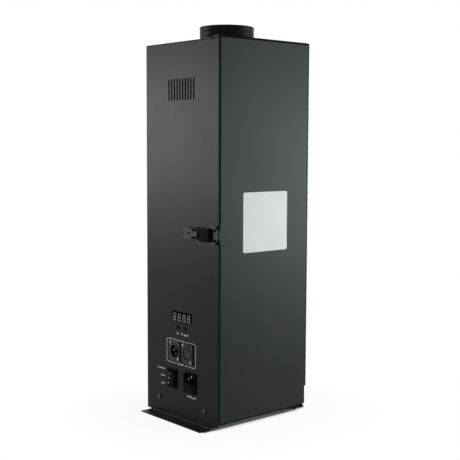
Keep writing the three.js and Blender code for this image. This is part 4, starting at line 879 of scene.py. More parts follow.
@dataclass
class Assembly:
    """Pieces that are built and dressed together."""

    finishes: Finishes
    pieces: list[bpy.types.Object] = field(default_factory=list, init=False)

    def build(self) -> None:
        """Builds and dresses the pieces."""
        raise NotImplementedError

    def fit(self, form: Form, body: Body = Body.CABINET, replaces: Sequence[str] = (), bevel: float = 0.0,
            smooth: float = SMOOTH) -> bpy.types.Object:
        """Makes a form one of the pieces.

        Args:
            form: The finished form.
            body: The body that it rides on.
            replaces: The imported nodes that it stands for.
            bevel: The width of the rounding, or 0 for none.
            smooth: The angle in degrees from which an edge counts as sharp.

        Returns:
            The piece.
        """
        self.pieces.append(settle(form.shown(self.finishes), body, replaces, bevel, smooth))
        return self.pieces[-1]

    def soften(self, *plans: Softening) -> None:
        """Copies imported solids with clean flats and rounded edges, to stand for them.

        Args:
            plans: The solids and how each is dressed.
        """
        for plan in plans:
            bm = bmesh.new()
            bm.from_mesh(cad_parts[plan.node].data)
            bmesh.ops.remove_doubles(bm, verts=bm.verts, dist=MERGE * MM)
            bmesh.ops.dissolve_limit(bm, angle_limit=math.radians(1.0), verts=bm.verts, edges=bm.edges)
            if plan.shape:
                plan.shape(bm)
            name = f"{plan.node}_dressed"
            mesh = poured(name, bm)
            mesh.materials.clear()
            for finish in filter(None, (plan.finish, plan.second)):
                mesh.materials.append(self.finishes[finish])
            for polygon in mesh.polygons:
                polygon.material_index = int(plan.where is not None and plan.where(polygon))
            self.pieces.append(settle(linked(name, mesh), plan.body, (plan.node,), plan.bevel))


@dataclass
class PackedSolids(Assembly):
    """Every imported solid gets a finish, whether or not a finer piece stands for it later."""

    def build(self) -> None:
        """Gives each solid its one finish."""
        for finish, nodes in PLAIN_SOLIDS.items():
            for node in nodes:
                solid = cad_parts[node]
                solid.data.materials.clear()
                solid.data.materials.append(self.finishes[finish])
                self.pieces.append(solid)


@dataclass
class FoldedSheets(Assembly):
    """The cabinet's sheets and those inside it, and the raised lip along the top on the door's side, whose outer
    ledge and recess carry painted shade.
    """

    plans: tuple[Softening, ...] = (
        Softening("cabinet_shell", Finish.POWDER_COAT, bevel=0.3),
        Softening("left_side_panel", Finish.POWDER_COAT, bevel=0.3),
        Softening("base_tray", Finish.POWDER_COAT, bevel=0.3),
        Softening("can_shelf", Finish.ZINC),
        Softening("nozzle_bracket", Finish.ZINC),
        Softening("heat_shield", Finish.HEAT_STEEL),
        Softening("can_clip", Finish.ZINC, bevel=0.2))
    collar_below_top: float = 4.8
    lip_run: Point2 = (-88.3, 88.75)
    slope: tuple[Point2, ...] = ((66.0, -0.3), (66.0, 0.0), (79.0, 3.0), (84.3, 3.0), (84.3, 2.1), (83.4, 2.1),
                                 (83.4, -0.3))
    # Near-black slabs of painted shade: one on the wall of the recess under the lip's overhang, one over the
    # lip's outer edge.
    groove_shade: tuple[Point2, ...] = ((83.3, -0.3), (83.5, -0.3), (83.5, 2.2), (83.3, 2.2))
    ledge_shade_from: float = 84.0
    ledge_shade: Point2 = (2.05, 3.02)
    lip_bevel: float = 0.3

    def build(self) -> None:
        """Softens the sheets and lays the lip, whose outlines run in X and in height above the top."""
        self.soften(*self.plans)
        top = Box.of("outlet_collar").low.z + self.collar_below_top
        edge = Box.of("cabinet_shell").high.x
        low, high = self.ledge_shade
        ledge_shade = ((self.ledge_shade_from, low), (edge, low), (edge, high), (self.ledge_shade_from, high))
        lip = Form("top_lip", Finish.POWDER_COAT)
        # The ledge and the groove are painted shade along the lip's edge and in the recess under it.
        for finish, outline in ((Finish.POWDER_COAT, self.slope), (Finish.LINK_BLACK_AND_SHADE, ledge_shade),
                                (Finish.LINK_BLACK_AND_SHADE, self.groove_shade)):
            lip.slab([(-x, z) for x, z in outline], *self.lip_run, (0, 0, top), Axis.OUT_REAR, finish)
        self.fit(lip, bevel=self.lip_bevel)


@dataclass(frozen=True)
class CornerCut:
    """The slanted corners of the door's tab and of the keeper, down to a short neck at the door's corner."""

    height: float = 289.0
    outline: tuple[Point2, ...] = ((81.0, 14.5), (86.6, 6.2), (88.0, 6.2), (88.0, 16.0), (81.0, 16.0))
    run: Point2 = (-94.0, -86.4)

    def cut(self, bm: bmesh.types.BMesh, finishes: Finishes) -> None:
        """Cuts both corners off a solid.

        Args:
            bm: The solid in metres.
            finishes: Where the cutter's material comes from.
        """
        for side in (-1, 1):
            prism = Form("corner", Finish.LATCH_GREY)
            prism.slab([(-x, self.height + side * z) for x, z in self.outline], *self.run, axis=Axis.OUT_REAR)
            holder = linked("holder", bpy.data.meshes.new("holder"))
            bm.to_mesh(holder.data)
            cut_away(holder, prism.shown(finishes))
            bm.clear()
            bm.from_mesh(holder.data)
            bmesh.ops.remove_doubles(bm, verts=bm.verts, dist=MERGE * MM)
            bpy.data.objects.remove(holder)


@dataclass
class Door(Assembly):
    """The door's sheet with its bent tab, its rim drawn up to the lip, the magnet and the pale print."""

    corners: CornerCut = CornerCut()
    rim_from: Point2 = (85.85, -85.6)
    rim_inset: float = 0.02
    rim_foot: float = 0.4
    rim_rise: float = 3.0
    print_side: float = 88.7
    print_corner: float = 3.2
    print_place: Point2 = (2.35, 305.1)
    print_depth: Point2 = (-0.02, 0.04)

    def build(self) -> None:
        """Builds the door's pieces."""
        self.soften(Softening("door_panel", Finish.DOOR_COAT, Body.DOOR, 0.3, self.shape_tab),
                    Softening("door_magnet", Finish.BLACK_PLASTIC, Body.DOOR, 0.6))
        panel = Box.of("door_panel")
        (inner, front), outer = self.rim_from, panel.high.x - self.rim_inset
        rim = Form("door_top_rim", Finish.DOOR_COAT)
        rim.slab([(inner, front), (outer, front), (outer, panel.high.y), (inner, panel.high.y)],
                 panel.high.z - self.rim_foot, panel.high.z + self.rim_rise)
        self.fit(rim, Body.DOOR, bevel=0.25)
        square = Form("door_square", Finish.PRINT_WHITE)
        square.slab(rounded_rectangle(self.print_side, self.print_side, self.print_corner, 8),
                    *self.print_depth, (panel.high.x, *self.print_place), Axis.OUT_DOOR)
        self.fit(square, Body.DOOR)

    def shape_tab(self, bm: bmesh.types.BMesh) -> None:
        """Cuts the tab's corners at a slant."""
        self.corners.cut(bm, self.finishes)


@dataclass
class Latch(Assembly):
    """The toggle latch: its base, lever, draw link and keeper, their rivets and the link's pin."""

    height: float = 289.0
    corners: CornerCut = CornerCut()
    keeper_from: float = 84.0
    keeper_growth: float = 1.9
    lip_bend: float = 22.5
    lip_share: float = 0.47
    pivot_drop: float = 9.4
    pivot_before: float = -91.0
    edge_tilt: float = 0.7
    dome: tuple[Point2, ...] = ((0.0, 1.5), (1.2, 1.42), (1.9, 1.26), (2.3, 0.9), (2.45, 0.4), (2.45, 0.0),
                                (0.0, 0.0))
    base_rivets_in: float = 4.6
    base_face: float = -89.65
    keeper_rivet_x: float = 81.5
    keeper_rivet_heights: Point2 = (281.4, 296.6)
    keeper_face: float = -91.45
    pin_radius: float = 1.5
    pin_chamfer: float = 0.4

    def build(self) -> None:
        """Builds the latch's pieces."""
        self.soften(
            Softening("latch_base", Finish.LINK_BLACK_AND_SHADE, bevel=0.22, second=Finish.PIN_STEEL,
                      where=self.on_pivot_end),
            Softening("latch_keeper", Finish.LATCH_GREY, Body.DOOR, 0.22, self.shape_keeper),
            Softening("latch_lever", Finish.LATCH_GREY, Body.LEVER, shape=self.level_lip),
            # The link's upward and downward faces take the painted highlight.
            Softening("latch_link", Finish.LINK_BLACK_AND_SHADE, Body.LINK, second=Finish.LINK_PAINTED_HIGHLIGHT, where=self.on_painted_highlight))
        base = Box.of("latch_base")
        for k, x in enumerate((base.low.x + self.base_rivets_in, base.high.x - self.base_rivets_in)):
            self.rivet(f"latch_base_rivet_{k}", (x, self.base_face, self.height), Body.CABINET,
                       Finish.BLACK_STEEL)
        for k, z in enumerate(self.keeper_rivet_heights):
            self.rivet(f"keeper_rivet_{k}", (self.keeper_rivet_x, self.keeper_face, z), Body.DOOR,
                       Finish.LINK_BLACK_AND_SHADE)
        self.link_pin()

    def shape_keeper(self, bm: bmesh.types.BMesh) -> None:
        """Draws the keeper's plate out to the door's corner and then cuts its corners.

        Args:
            bm: The keeper's solid.
        """
        for vert in bm.verts:
            if vert.co.x > self.keeper_from * MM:
                vert.co.x += self.keeper_growth * MM
        self.corners.cut(bm, self.finishes)

    def level_lip(self, bm: bmesh.types.BMesh) -> None:
        """Lays the lever's finger lip almost level with its web.

        Args:
            bm: The lever's solid.
        """
        bend = self.lip_bend * MM
        for vert in bm.verts:
            if vert.co.x < bend:
                vert.co.y += (bend - vert.co.x) * self.lip_share

    def on_pivot_end(self, polygon: bpy.types.MeshPolygon) -> bool:
        """Whether a face of the base belongs to the lower end of the lever's pivot."""
        _, y, z = polygon.center / MM
        return z < self.height - self.pivot_drop and y < self.pivot_before

    def on_painted_highlight(self, polygon: bpy.types.MeshPolygon) -> bool:
        """Whether a face of the draw link looks up or down, and so carries the painted highlight."""
        return abs(polygon.normal.z) > self.edge_tilt

    def rivet(self, name: str, place: Sequence[float], body: Body, finish: Finish) -> None:
        """Sets a domed rivet head on a face that looks out of the front.

        Args:
            name: The piece's name.
            place: The middle of its foot.
            body: The body that it rides on.
            finish: Its finish.
        """
        self.fit(Form(name, finish).lathe(self.dome, place, Axis.OUT_FRONT, 32), body)

    def link_pin(self) -> None:
        """Turns the pin that the draw link hangs on, with chamfered ends."""
        pin = Box.of("latch_link_pin")
        half, radius, chamfer = pin.size.z / 2, self.pin_radius, self.pin_chamfer
        turned = Form("link_pin_turned", Finish.BLACK_STEEL).lathe(
            [(0.0, -half), (radius * 0.7, -half), (radius, -half + chamfer), (radius, half - chamfer),
             (radius * 0.7, half), (0.0, half)], pin.middle, sides=32)
        self.fit(turned, Body.LEVER, ("latch_link_pin",))


@dataclass
class Hinge(Assembly):
    """The continuous hinge: two leaves with round knuckles turned about one pin."""

    knuckles: int = 39
    leaf_above: float = 6.7
    pin_above: float = 10.9
    radius: float = 2.0
    bore: float = 0.9
    leaf_gap: float = 0.2
    leaf_thickness: float = 0.8
    leaf_end: float = 88.2
    tongue_start: float = 88.1
    knuckle_gap: float = 0.15
    chamfer: float = 0.3
    pin_radius: float = 0.75
    pin_end: float = 0.6

    def build(self) -> None:
        """Builds both leaves and the pin."""
        pin = Box.of("hinge_pin")
        foot, top = pin.low.z, pin.high.z + self.pin_above
        self.leaf("body_hinge_leaf", Body.CABINET, -1, 0)
        self.leaf("door_hinge_leaf", Body.DOOR, 1, 1)
        rod = Form("hinge_pin_turned", Finish.STEEL_BRIGHT).lathe(
            [(0.0, foot), (self.pin_end, foot), (self.pin_radius, foot + 0.2), (self.pin_radius, top - 0.2),
             (self.pin_end, top), (0.0, top)], (pin.middle.x, pin.middle.y, 0), sides=16)
        self.fit(rod, replaces=("hinge_pin",))

    def leaf(self, node: str, body: Body, side: int, first: int) -> None:
        """Builds one leaf with every other knuckle.

        Args:
            node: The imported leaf.
            body: The body that it rides on.
            side: 1 if it lies on the door's side of the pin, and -1 if not.
            first: Its lowest knuckle.
        """
        pin = Box.of("hinge_pin")
        axis, foot = pin.middle, pin.low.z
        pitch = (pin.high.z + self.pin_above - foot) / self.knuckles
        inner = axis.x + side * self.leaf_gap
        near, far = sorted((inner, inner + side * self.leaf_thickness))
        start = Box.of(node).low.y
        form = Form(f"{node}_rolled", Finish.BLACK_STEEL)
        form.slab([(near, start), (far, start), (far, self.leaf_end), (near, self.leaf_end)], foot,
                  pin.high.z + self.leaf_above)
        radius, chamfer = self.radius, self.chamfer
        for k in range(first, self.knuckles, 2):
            low = foot + k * pitch + self.knuckle_gap
            high = low + pitch - 2 * self.knuckle_gap
            form.slab([(near, self.tongue_start), (far, self.tongue_start), (far, axis.y), (near, axis.y)], low,
                      high)
            form.lathe([(self.bore, low), (radius - chamfer, low), (radius, low + chamfer),
                        (radius, high - chamfer), (radius - chamfer, high), (self.bore, high)],
                       (axis.x, axis.y, 0), sides=20, closed=True)
        self.fit(form, body, (node,))


@dataclass(frozen=True)
class ScrewKind:
    """A round-headed screw with a cross recess."""

    finish: Finish
    radius: float
    height: float
    shank: float


@dataclass
class Screws(Assembly):
    """The base screws in the front and rear walls, and the small screws of the signal sockets."""

    base: ScrewKind = ScrewKind(Finish.SCREW_BLACK, 3.75, 2.1, 2.0)
    socket: ScrewKind = ScrewKind(Finish.SCREW_PLATED, 2.65, 1.4, 1.4)
    base_proud: float = 0.15
    flange_proud: float = 1.65
    crown: float = 0.65
    foot_share: float = 0.98
    arm_foot: tuple[float, float, float] = (0.55, 0.16, 0.45)
    arm_mouth: tuple[float, float, float] = (1.15, 0.24, 1.3)

    def build(self) -> None:
        """Sets every screw, each turned a little differently."""
        wall = FRONT_FACE - self.base_proud
        for k, side in enumerate(("left", "right")):
            self.drive(f"base_screw_front_{side}", self.base, Axis.OUT_FRONT, wall, 0.3 + k)
            self.drive(f"base_screw_rear_{side}", self.base, Axis.OUT_REAR, -wall, 0.5 + k)
        for k, place in enumerate(("in_upper", "in_lower", "out_upper", "out_lower")):
            self.drive(f"signal_{place}_screw", self.socket, Axis.OUT_FRONT, FRONT_FACE - self.flange_proud,
                       0.2 + 0.4 * k)

    def head(self, name: str, kind: ScrewKind) -> bpy.types.Object:
        """Turns a domed head that stands on z = 0 and cuts a tapered cross into it, whose faces are painted
        shade.

        Args:
            name: The piece's name.
            kind: The screw's sizes and finish.

        Returns:
            The head, at the origin and pointing up.
        """
        radius, height = kind.radius, kind.height
        dome = [(0.0, height)] + [(radius * math.sin(a), height * (1 - self.crown + self.crown * math.cos(a)))
                                  for a in (math.radians(10 * k) for k in range(1, 10))]
        turned = Form(name, kind.finish).lathe([*dome, (radius * self.foot_share, 0.0), (0.0, 0.0)], sides=40)
        piece = turned.shown(self.finishes)
        piece.data.materials.append(self.finishes[Finish.PAINTED_RECESS_SHADE])
        # The cross's faces keep its finish: painted shade in the recess.
        cross = Form("cross", Finish.PAINTED_RECESS_SHADE)
        for turn in (0, 90):
            arm = bmesh.new()
            for vert in bmesh.ops.create_cube(arm, size=1.0)["verts"]:
                along, across, level = self.arm_foot if vert.co.z < 0 else self.arm_mouth
                vert.co = (vert.co.x * radius * along, vert.co.y * radius * across, height * level)
            bmesh.ops.rotate(arm, verts=arm.verts, matrix=Matrix.Rotation(math.radians(turn), 3, "Z"))
            cross.add(arm)
        cut_away(piece, cross.shown(self.finishes), keep_finish=True)
        return piece

    def drive(self, node: str, kind: ScrewKind, axis: Axis, face: float, turn: float) -> None:
        """Stands a screw for a packed one: its head on a face, its shank behind it.

        Args:
            node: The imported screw.
            kind: The screw's sizes and finish.
            axis: Where its head points.
            face: The Y of the face that the head sits on.
            turn: How far its cross is turned, in radians.
        """
        packed = Box.of(node)
        spot = Vector((packed.middle.x, face, packed.middle.z))
        head = self.head(f"{node}_head", kind)
        head.data.transform(Matrix.Translation(spot * MM) @ axis.value.to_4x4() @ Matrix.Rotation(turn, 4, "Z"))
        self.pieces.append(settle(head, Body.CABINET, (node,), smooth=40))
        length = packed.size.y - kind.height
        self.fit(Form(f"{node}_shank", kind.finish).lathe(
            [(0.0, 0.0), (kind.shank, 0.0), (kind.shank, -length), (0.0, -length)], spot, axis, 20))


@dataclass
class Outlet(Assembly):
    """The collar with its turned ridges and rolled rim, its rivets, and the flame tube below it."""

    outer: float = 41.5
    bore: float = 39.0
    flange: float = 1.5
    ridges: int = 3
    ridge_pitch: float = 6.625
    ridge_depth: float = 0.35
    ridge_halves: Point2 = (1.6, 0.8)
    rivets: int = 4
    rivet_circle: float = 46.5
    rivet_radius: float = 4.0
    rivet_height: float = 1.4
    rivet_shank: Point2 = (2.0, -6.0)
    rivet_proud: float = 0.05

    def build(self) -> None:
        """Builds the collar, the rivets and the tube."""
        plate = Box.of("cabinet_shell").high.z
        self.collar(plate)
        shank, foot = self.rivet_shank
        dome = [(self.rivet_radius * math.sin(a), self.rivet_height * math.cos(a))
                for a in (math.radians(15 * k) for k in range(1, 6))]
        profile = [(0.0, self.rivet_height), *dome, (self.rivet_radius, 0.0), (shank, 0.0), (shank, foot),
                   (0.0, foot)]
        form = Form("collar_rivets", Finish.BLACK_STEEL)
        for k in range(self.rivets):
            angle = math.pi / 2 * (k + 0.5)
            form.lathe(profile, (self.rivet_circle * math.cos(angle), self.rivet_circle * math.sin(angle),
                                 plate + self.rivet_proud), sides=32)
        self.fit(form)
        self.soften(Softening("flame_tube", Finish.HEAT_STEEL, bevel=0.15))

    def collar(self, plate: float) -> None:
        """Turns the collar.

        Args:
            plate: The height of the cabinet's top.
        """
        packed = Box.of("outlet_collar")
        foot, rim, outer, bore = packed.low.z, packed.high.z, self.outer, self.bore
        wide, narrow = self.ridge_halves
        profile = [(bore, foot), (packed.high.x, foot), (packed.high.x, foot + self.flange),
                   (outer, foot + self.flange)]
        for k in range(1, self.ridges + 1):
            level, floor = plate + k * self.ridge_pitch, outer - self.ridge_depth
            profile += [(outer, level - wide), (floor, level - narrow), (floor, level + narrow),
                        (outer, level + wide)]
        profile += [(outer, rim - 0.9), (outer - 0.25, rim - 0.25), (outer - 0.8, rim), (bore + 0.5, rim),
                    (bore + 0.1, rim - 0.2), (bore, rim - 0.7)]
        self.fit(Form("collar_turned", Finish.COLLAR_COAT).lathe(profile, sides=128, closed=True),
                 replaces=("outlet_collar",))


@dataclass
class Display(Assembly):
    """A black module behind a glossy window, with four seven-bar digits and their points."""

    corner: float = 0.4
    digits: int = 4
    first_digit: Point2 = (-16.0, 158.2)
    digit_pitch: float = 11.35
    half_width: float = 2.7
    half_height: float = 5.3
    bar: float = 0.9
    bar_gap: float = 0.15
    lean: float = 0.12
    point_place: Point2 = (4.1, -5.3)
    point_radius: float = 0.65
    depth: Point2 = (-0.2, 0.02)

    def build(self) -> None:
        """Builds the module and its digits."""
        packed = Box.of("display_module")
        module = Form("display_body", Finish.DARK_WINDOW)
        module.slab(rounded_rectangle(packed.size.x, packed.size.z, self.corner, 3), 0, packed.size.y,
                    (packed.middle.x, packed.high.y, packed.middle.z), Axis.OUT_FRONT)
        self.fit(module, replaces=("display_module",), bevel=0.2)
        shown = Form("display_digits", Finish.DIGIT)
        x, z = self.first_digit
        for k in range(self.digits):
            self.digit(shown, (x + self.digit_pitch * k, packed.low.y, z))
        self.fit(shown)

    def digit(self, form: Form, spot: Sequence[float]) -> None:
        """Lays seven bars and a point, leaning a little to the right.

        Args:
            form: The form that carries the digits.
            spot: The digit's middle on the window.
        """
        wide, tall = self.half_width, self.half_height
        for v in (-tall, 0.0, tall):
            self.bar_between(form, spot, (-wide, v), (wide, v))
        for u in (-wide, wide):
            self.bar_between(form, spot, (u, -tall), (u, 0.0))
            self.bar_between(form, spot, (u, 0.0), (u, tall))
        form.slab(ring_outline(*self.point_place, self.point_radius, 16), *self.depth, spot, Axis.OUT_FRONT)

    def bar_between(self, form: Form, spot: Sequence[float], start: Point2, end: Point2) -> None:
        """Lays one bar with pointed ends.

        Args:
            form: The form that carries the digits.
            spot: The digit's middle on the window.
            start: Where the bar starts in an upright digit.
            end: Where it ends.
        """
        first, last = (Vector((u + v * self.lean, v)) for u, v in (start, end))
        along = (last - first).normalized()
        across = Vector((-along.y, along.x)) * self.bar / 2
        gap, tip = along * self.bar_gap, along * (self.bar_gap + self.bar / 2)
        outline = [first + gap, first + tip - across, last - tip - across, last - gap, last - tip + across,
                   first + tip + across]
        form.slab(outline, *self.depth, spot, Axis.OUT_FRONT)


@dataclass
class Buttons(Assembly):
    """Two small round caps with a dished top, the right one in dark red."""

    radius: float = 2.5
    collar: float = 1.2
    collar_depths: Point2 = (-1.8, -3.0)
    stem_share: float = 0.7

    def build(self) -> None:
        """Turns both caps."""
        radius, (under, behind) = self.radius, self.collar_depths
        wide, stem = radius + self.collar, radius * self.stem_share
        for node, body, finish in (("button_up", Body.BUTTON_UP, Finish.BLACK_PLASTIC),
                                   ("button_down", Body.BUTTON_DOWN, Finish.RED_LENS)):
            packed = Box.of(node)
            front, rear = FRONT_FACE - packed.low.y, FRONT_FACE - packed.high.y
            profile = [(0.0, front - 0.25), (radius * 0.55, front - 0.12), (radius * 0.78, front),
                       (radius * 0.93, front - 0.15), (radius, front - 0.5), (radius, under), (wide, under),
                       (wide, behind), (stem, behind), (stem, rear), (0.0, rear)]
            cap = Form(f"{node}_cap", finish)
            cap.lathe(profile, (packed.middle.x, FRONT_FACE, packed.middle.z), Axis.OUT_FRONT, 40)
            self.fit(cap, body, (node,))


@dataclass
class SignalSockets(Assembly):
    """The male and the female three-pin socket."""

    rim_radii: Point2 = (9.35, 10.9)
    rim_height: float = 0.55
    rim_edge: float = 0.25
    flange: float = 1.5
    bore: float = 9.3
    bore_behind: float = -89.5
    insert_radius: float = 8.95
    insert_thickness: float = 2.0
    key: tuple[float, float, float, float] = (1.6, 7.4, 9.25, 10.5)
    contact_circle: float = 4.75
    pin_radius: float = 1.2
    sleeve: tuple[Point2, ...] = ((0.95, -8.0), (1.3, -8.0), (1.3, 0.3), (1.2, 0.45), (0.95, 0.3))

    def build(self) -> None:
        """Builds both sockets."""
        self.soften(
            Softening("signal_in_socket", Finish.BLACK_STEEL),
            Softening("signal_out_socket", Finish.BLACK_STEEL, second=Finish.BLACK_PLASTIC, where=self.in_bore),
            Softening("signal_out_release_tab", Finish.BLACK_STEEL, Body.RELEASE_TAB))
        self.input_socket()
        self.output_socket()

    def in_bore(self, polygon: bpy.types.MeshPolygon) -> bool:
        """Whether a face of the female socket belongs to its insert."""
        offset = polygon.center / MM - Box.of("signal_out_socket").middle
        return polygon.center.y > self.bore_behind * MM and math.hypot(offset.x, offset.z) < self.bore

    def rim(self, name: str, socket: Vector) -> None:
        """Turns a raised rim on a socket's flange.

        Args:
            name: The piece's name.
            socket: The socket's middle.
        """
        (inner, outer), height, edge = self.rim_radii, self.rim_height, self.rim_edge
        profile = [(inner, -0.1), (outer, -0.1), (outer, height - edge), (outer - edge, height),
                   (inner + edge, height), (inner, height - edge)]
        self.fit(Form(name, Finish.BLACK_STEEL).lathe(profile, (socket.x, FRONT_FACE - self.flange, socket.z),
                                                      Axis.OUT_FRONT, 72, closed=True))

    def contact_places(self, socket: Vector, depth: float) -> list[tuple[float, float, float]]:
        """Finds where the three contacts stand.

        Args:
            socket: The socket's middle.
            depth: The Y of the contacts' feet.

        Returns:
            The contacts' feet, from the top round by the left.
        """
        return [(socket.x + self.contact_circle * math.cos(k * math.pi / 2), depth,
                 socket.z + self.contact_circle * math.sin(k * math.pi / 2)) for k in (1, 2, 3)]

    def input_socket(self) -> None:
        """Builds the male insert: an insulating disc, three round-nosed pins, and a key in the bore."""
        socket, contacts = Box.of("signal_in_socket").middle, Box.of("signal_in_contacts")
        self.rim("signal_in_rim", socket)
        seat, radius, thick = (socket.x, contacts.high.y, socket.z), self.insert_radius, self.insert_thickness
        insert = Form("signal_in_insert", Finish.BLACK_PLASTIC)
        insert.lathe([(0.0, 0.0), (radius, 0.0), (radius, thick - 0.2), (radius - 0.2, thick), (0.0, thick)],
                     seat, Axis.OUT_FRONT)
        half, low, high, reach = self.key
        insert.slab([(-half, low), (half, low), (half, high), (-half, high)], 0.0, reach, seat, Axis.OUT_FRONT)
        self.fit(insert, bevel=0.15)
        length, thin = contacts.size.y, self.pin_radius
        nose = [(thin * math.cos(a), length - thin + thin * math.sin(a))
                for a in (math.radians(15 * j) for j in range(6))]
        pins = Form("signal_in_pins", Finish.PIN_STEEL)
        for spot in self.contact_places(socket, contacts.high.y):
            pins.lathe([(0.0, 1.0), (thin, 1.0), *nose, (0.0, length)], spot, Axis.OUT_FRONT, 24)
        self.fit(pins, replaces=("signal_in_contacts",))

    def output_socket(self) -> None:
        """Builds the rim of the female insert and the bright sleeves in its three holes."""
        socket = Box.of("signal_out_socket").middle
        self.rim("signal_out_rim", socket)
        sleeves = Form("signal_out_sleeves", Finish.SLEEVE_BRASS)
        for spot in self.contact_places(socket, FRONT_FACE):
            sleeves.lathe(self.sleeve, spot, Axis.OUT_FRONT, 24, closed=True)
        self.fit(sleeves)


class Mark(Enum):
    """The marks of the switch's three places. The value is the number of bars."""

    BAR = 1
    RING = 0
    TWO_BARS = 2

    def bars(self, gap: float) -> list[float]:
        """How far each bar stands from the mark's middle, with that gap between two."""
        return [gap * (k - (self.value - 1) / 2) for k in range(self.value)]


@dataclass
class ModeSwitch(Assembly):
    """The three-place switch: its housing, its rocker and the marks on the rocker's two slopes."""

    waist: float = 3.2
    slope: float = 1.4 / 10.7
    mark_x: float = -27.0
    middle_height: float = 61.3
    marks: tuple[tuple[float, Mark], ...] = ((6.6, Mark.BAR), (0.0, Mark.RING), (-7.4, Mark.TWO_BARS))
    ring_radius: float = 1.15
    ring_width: float = 0.6
    bar_half: float = 1.2
    bar_width: float = 0.65
    bar_spread: float = 1.1

    def build(self) -> None:
        """Builds the switch and marks its rocker."""
        self.soften(Softening("mode_switch_housing", Finish.BLACK_PLASTIC, bevel=0.3),
                    Softening("mode_switch_rocker", Finish.GLOSS_PLASTIC, Body.ROCKER, 0.45))
        form = Form("rocker_marks", Finish.LEGEND_WHITE)
        for rise, mark in self.marks:
            spot = (self.mark_x, FRONT_FACE - self.waist - abs(rise) * self.slope, self.middle_height + rise)
            if mark is Mark.RING:
                form.stroke(ring_outline(0, 0, self.ring_radius, 20), self.ring_width, -0.3, 0.3, spot,
                            closed=True)
            for u in mark.bars(self.bar_spread):
                form.stroke([(u, -self.bar_half), (u, self.bar_half)], self.bar_width, -0.4, 0.34, spot)
        self.fit(form, Body.ROCKER)


@dataclass
class PowerInlet(Assembly):
    """The mains inlet with its blades, and the fuse drawer with its fuse."""

    blades_before: float = -77.6
    rim_outline: tuple[Point2, ...] = ((-11.5, -7.5), (11.5, -7.5), (11.5, 3.5), (7.5, 7.5), (-7.5, 7.5),
                                       (-11.5, 3.5))
    rim_growth: Point2 = (1.03, 1.05)
    rim_above_middle: float = 6.4
    rim_width: float = 0.5
    fuse_radius: float = 2.6
    fuse_glass: float = 0.92
    fuse_cap: float = 5.5

    def build(self) -> None:
        """Builds the inlet, its moulded rim and the fuse."""
        self.soften(
            Softening("power_inlet", Finish.BLACK_PLASTIC, bevel=0.35),
            Softening("inlet_contacts", Finish.PIN_STEEL, bevel=0.3, second=Finish.BLACK_PLASTIC,
                      where=self.behind_blades),
            Softening("fuse_drawer", Finish.GLOSS_PLASTIC, Body.FUSE_DRAWER))
        inlet = Box.of("power_inlet")
        rim = Form("inlet_rim", Finish.BLACK_PLASTIC)
        rim.stroke([(u * self.rim_growth[0], v * self.rim_growth[1]) for u, v in self.rim_outline],
                   self.rim_width, -0.2, 0.25,
                   (inlet.middle.x, inlet.low.y, inlet.middle.z + self.rim_above_middle), closed=True)
        self.fit(rim, bevel=0.08)
        self.fuse()

    def behind_blades(self, polygon: bpy.types.MeshPolygon) -> bool:
        """Whether a face of the contacts lies behind the blades, in the moulding."""
        return polygon.center.y > self.blades_before * MM

    def fuse(self) -> None:
        """Turns a glass tube with two bright end caps."""
        packed = Box.of("fuse")
        length, radius, glass = packed.size.y, self.fuse_radius, self.fuse_radius * self.fuse_glass
        seat = (packed.middle.x, packed.high.y, packed.middle.z)
        form = Form("fuse_glass", Finish.GLASS)
        form.lathe([(0.0, 0.0), (glass, 0.0), (glass, length), (0.0, length)], seat, Axis.OUT_FRONT, 24)
        for start in (0.0, length - self.fuse_cap):
            end = start + self.fuse_cap
            form.lathe([(0.0, start), (radius, start), (radius, end), (0.0, end)], seat, Axis.OUT_FRONT, 24,
                       Finish.STEEL_BRIGHT)
        self.fit(form, Body.FUSE_DRAWER, ("fuse",), 0.15)


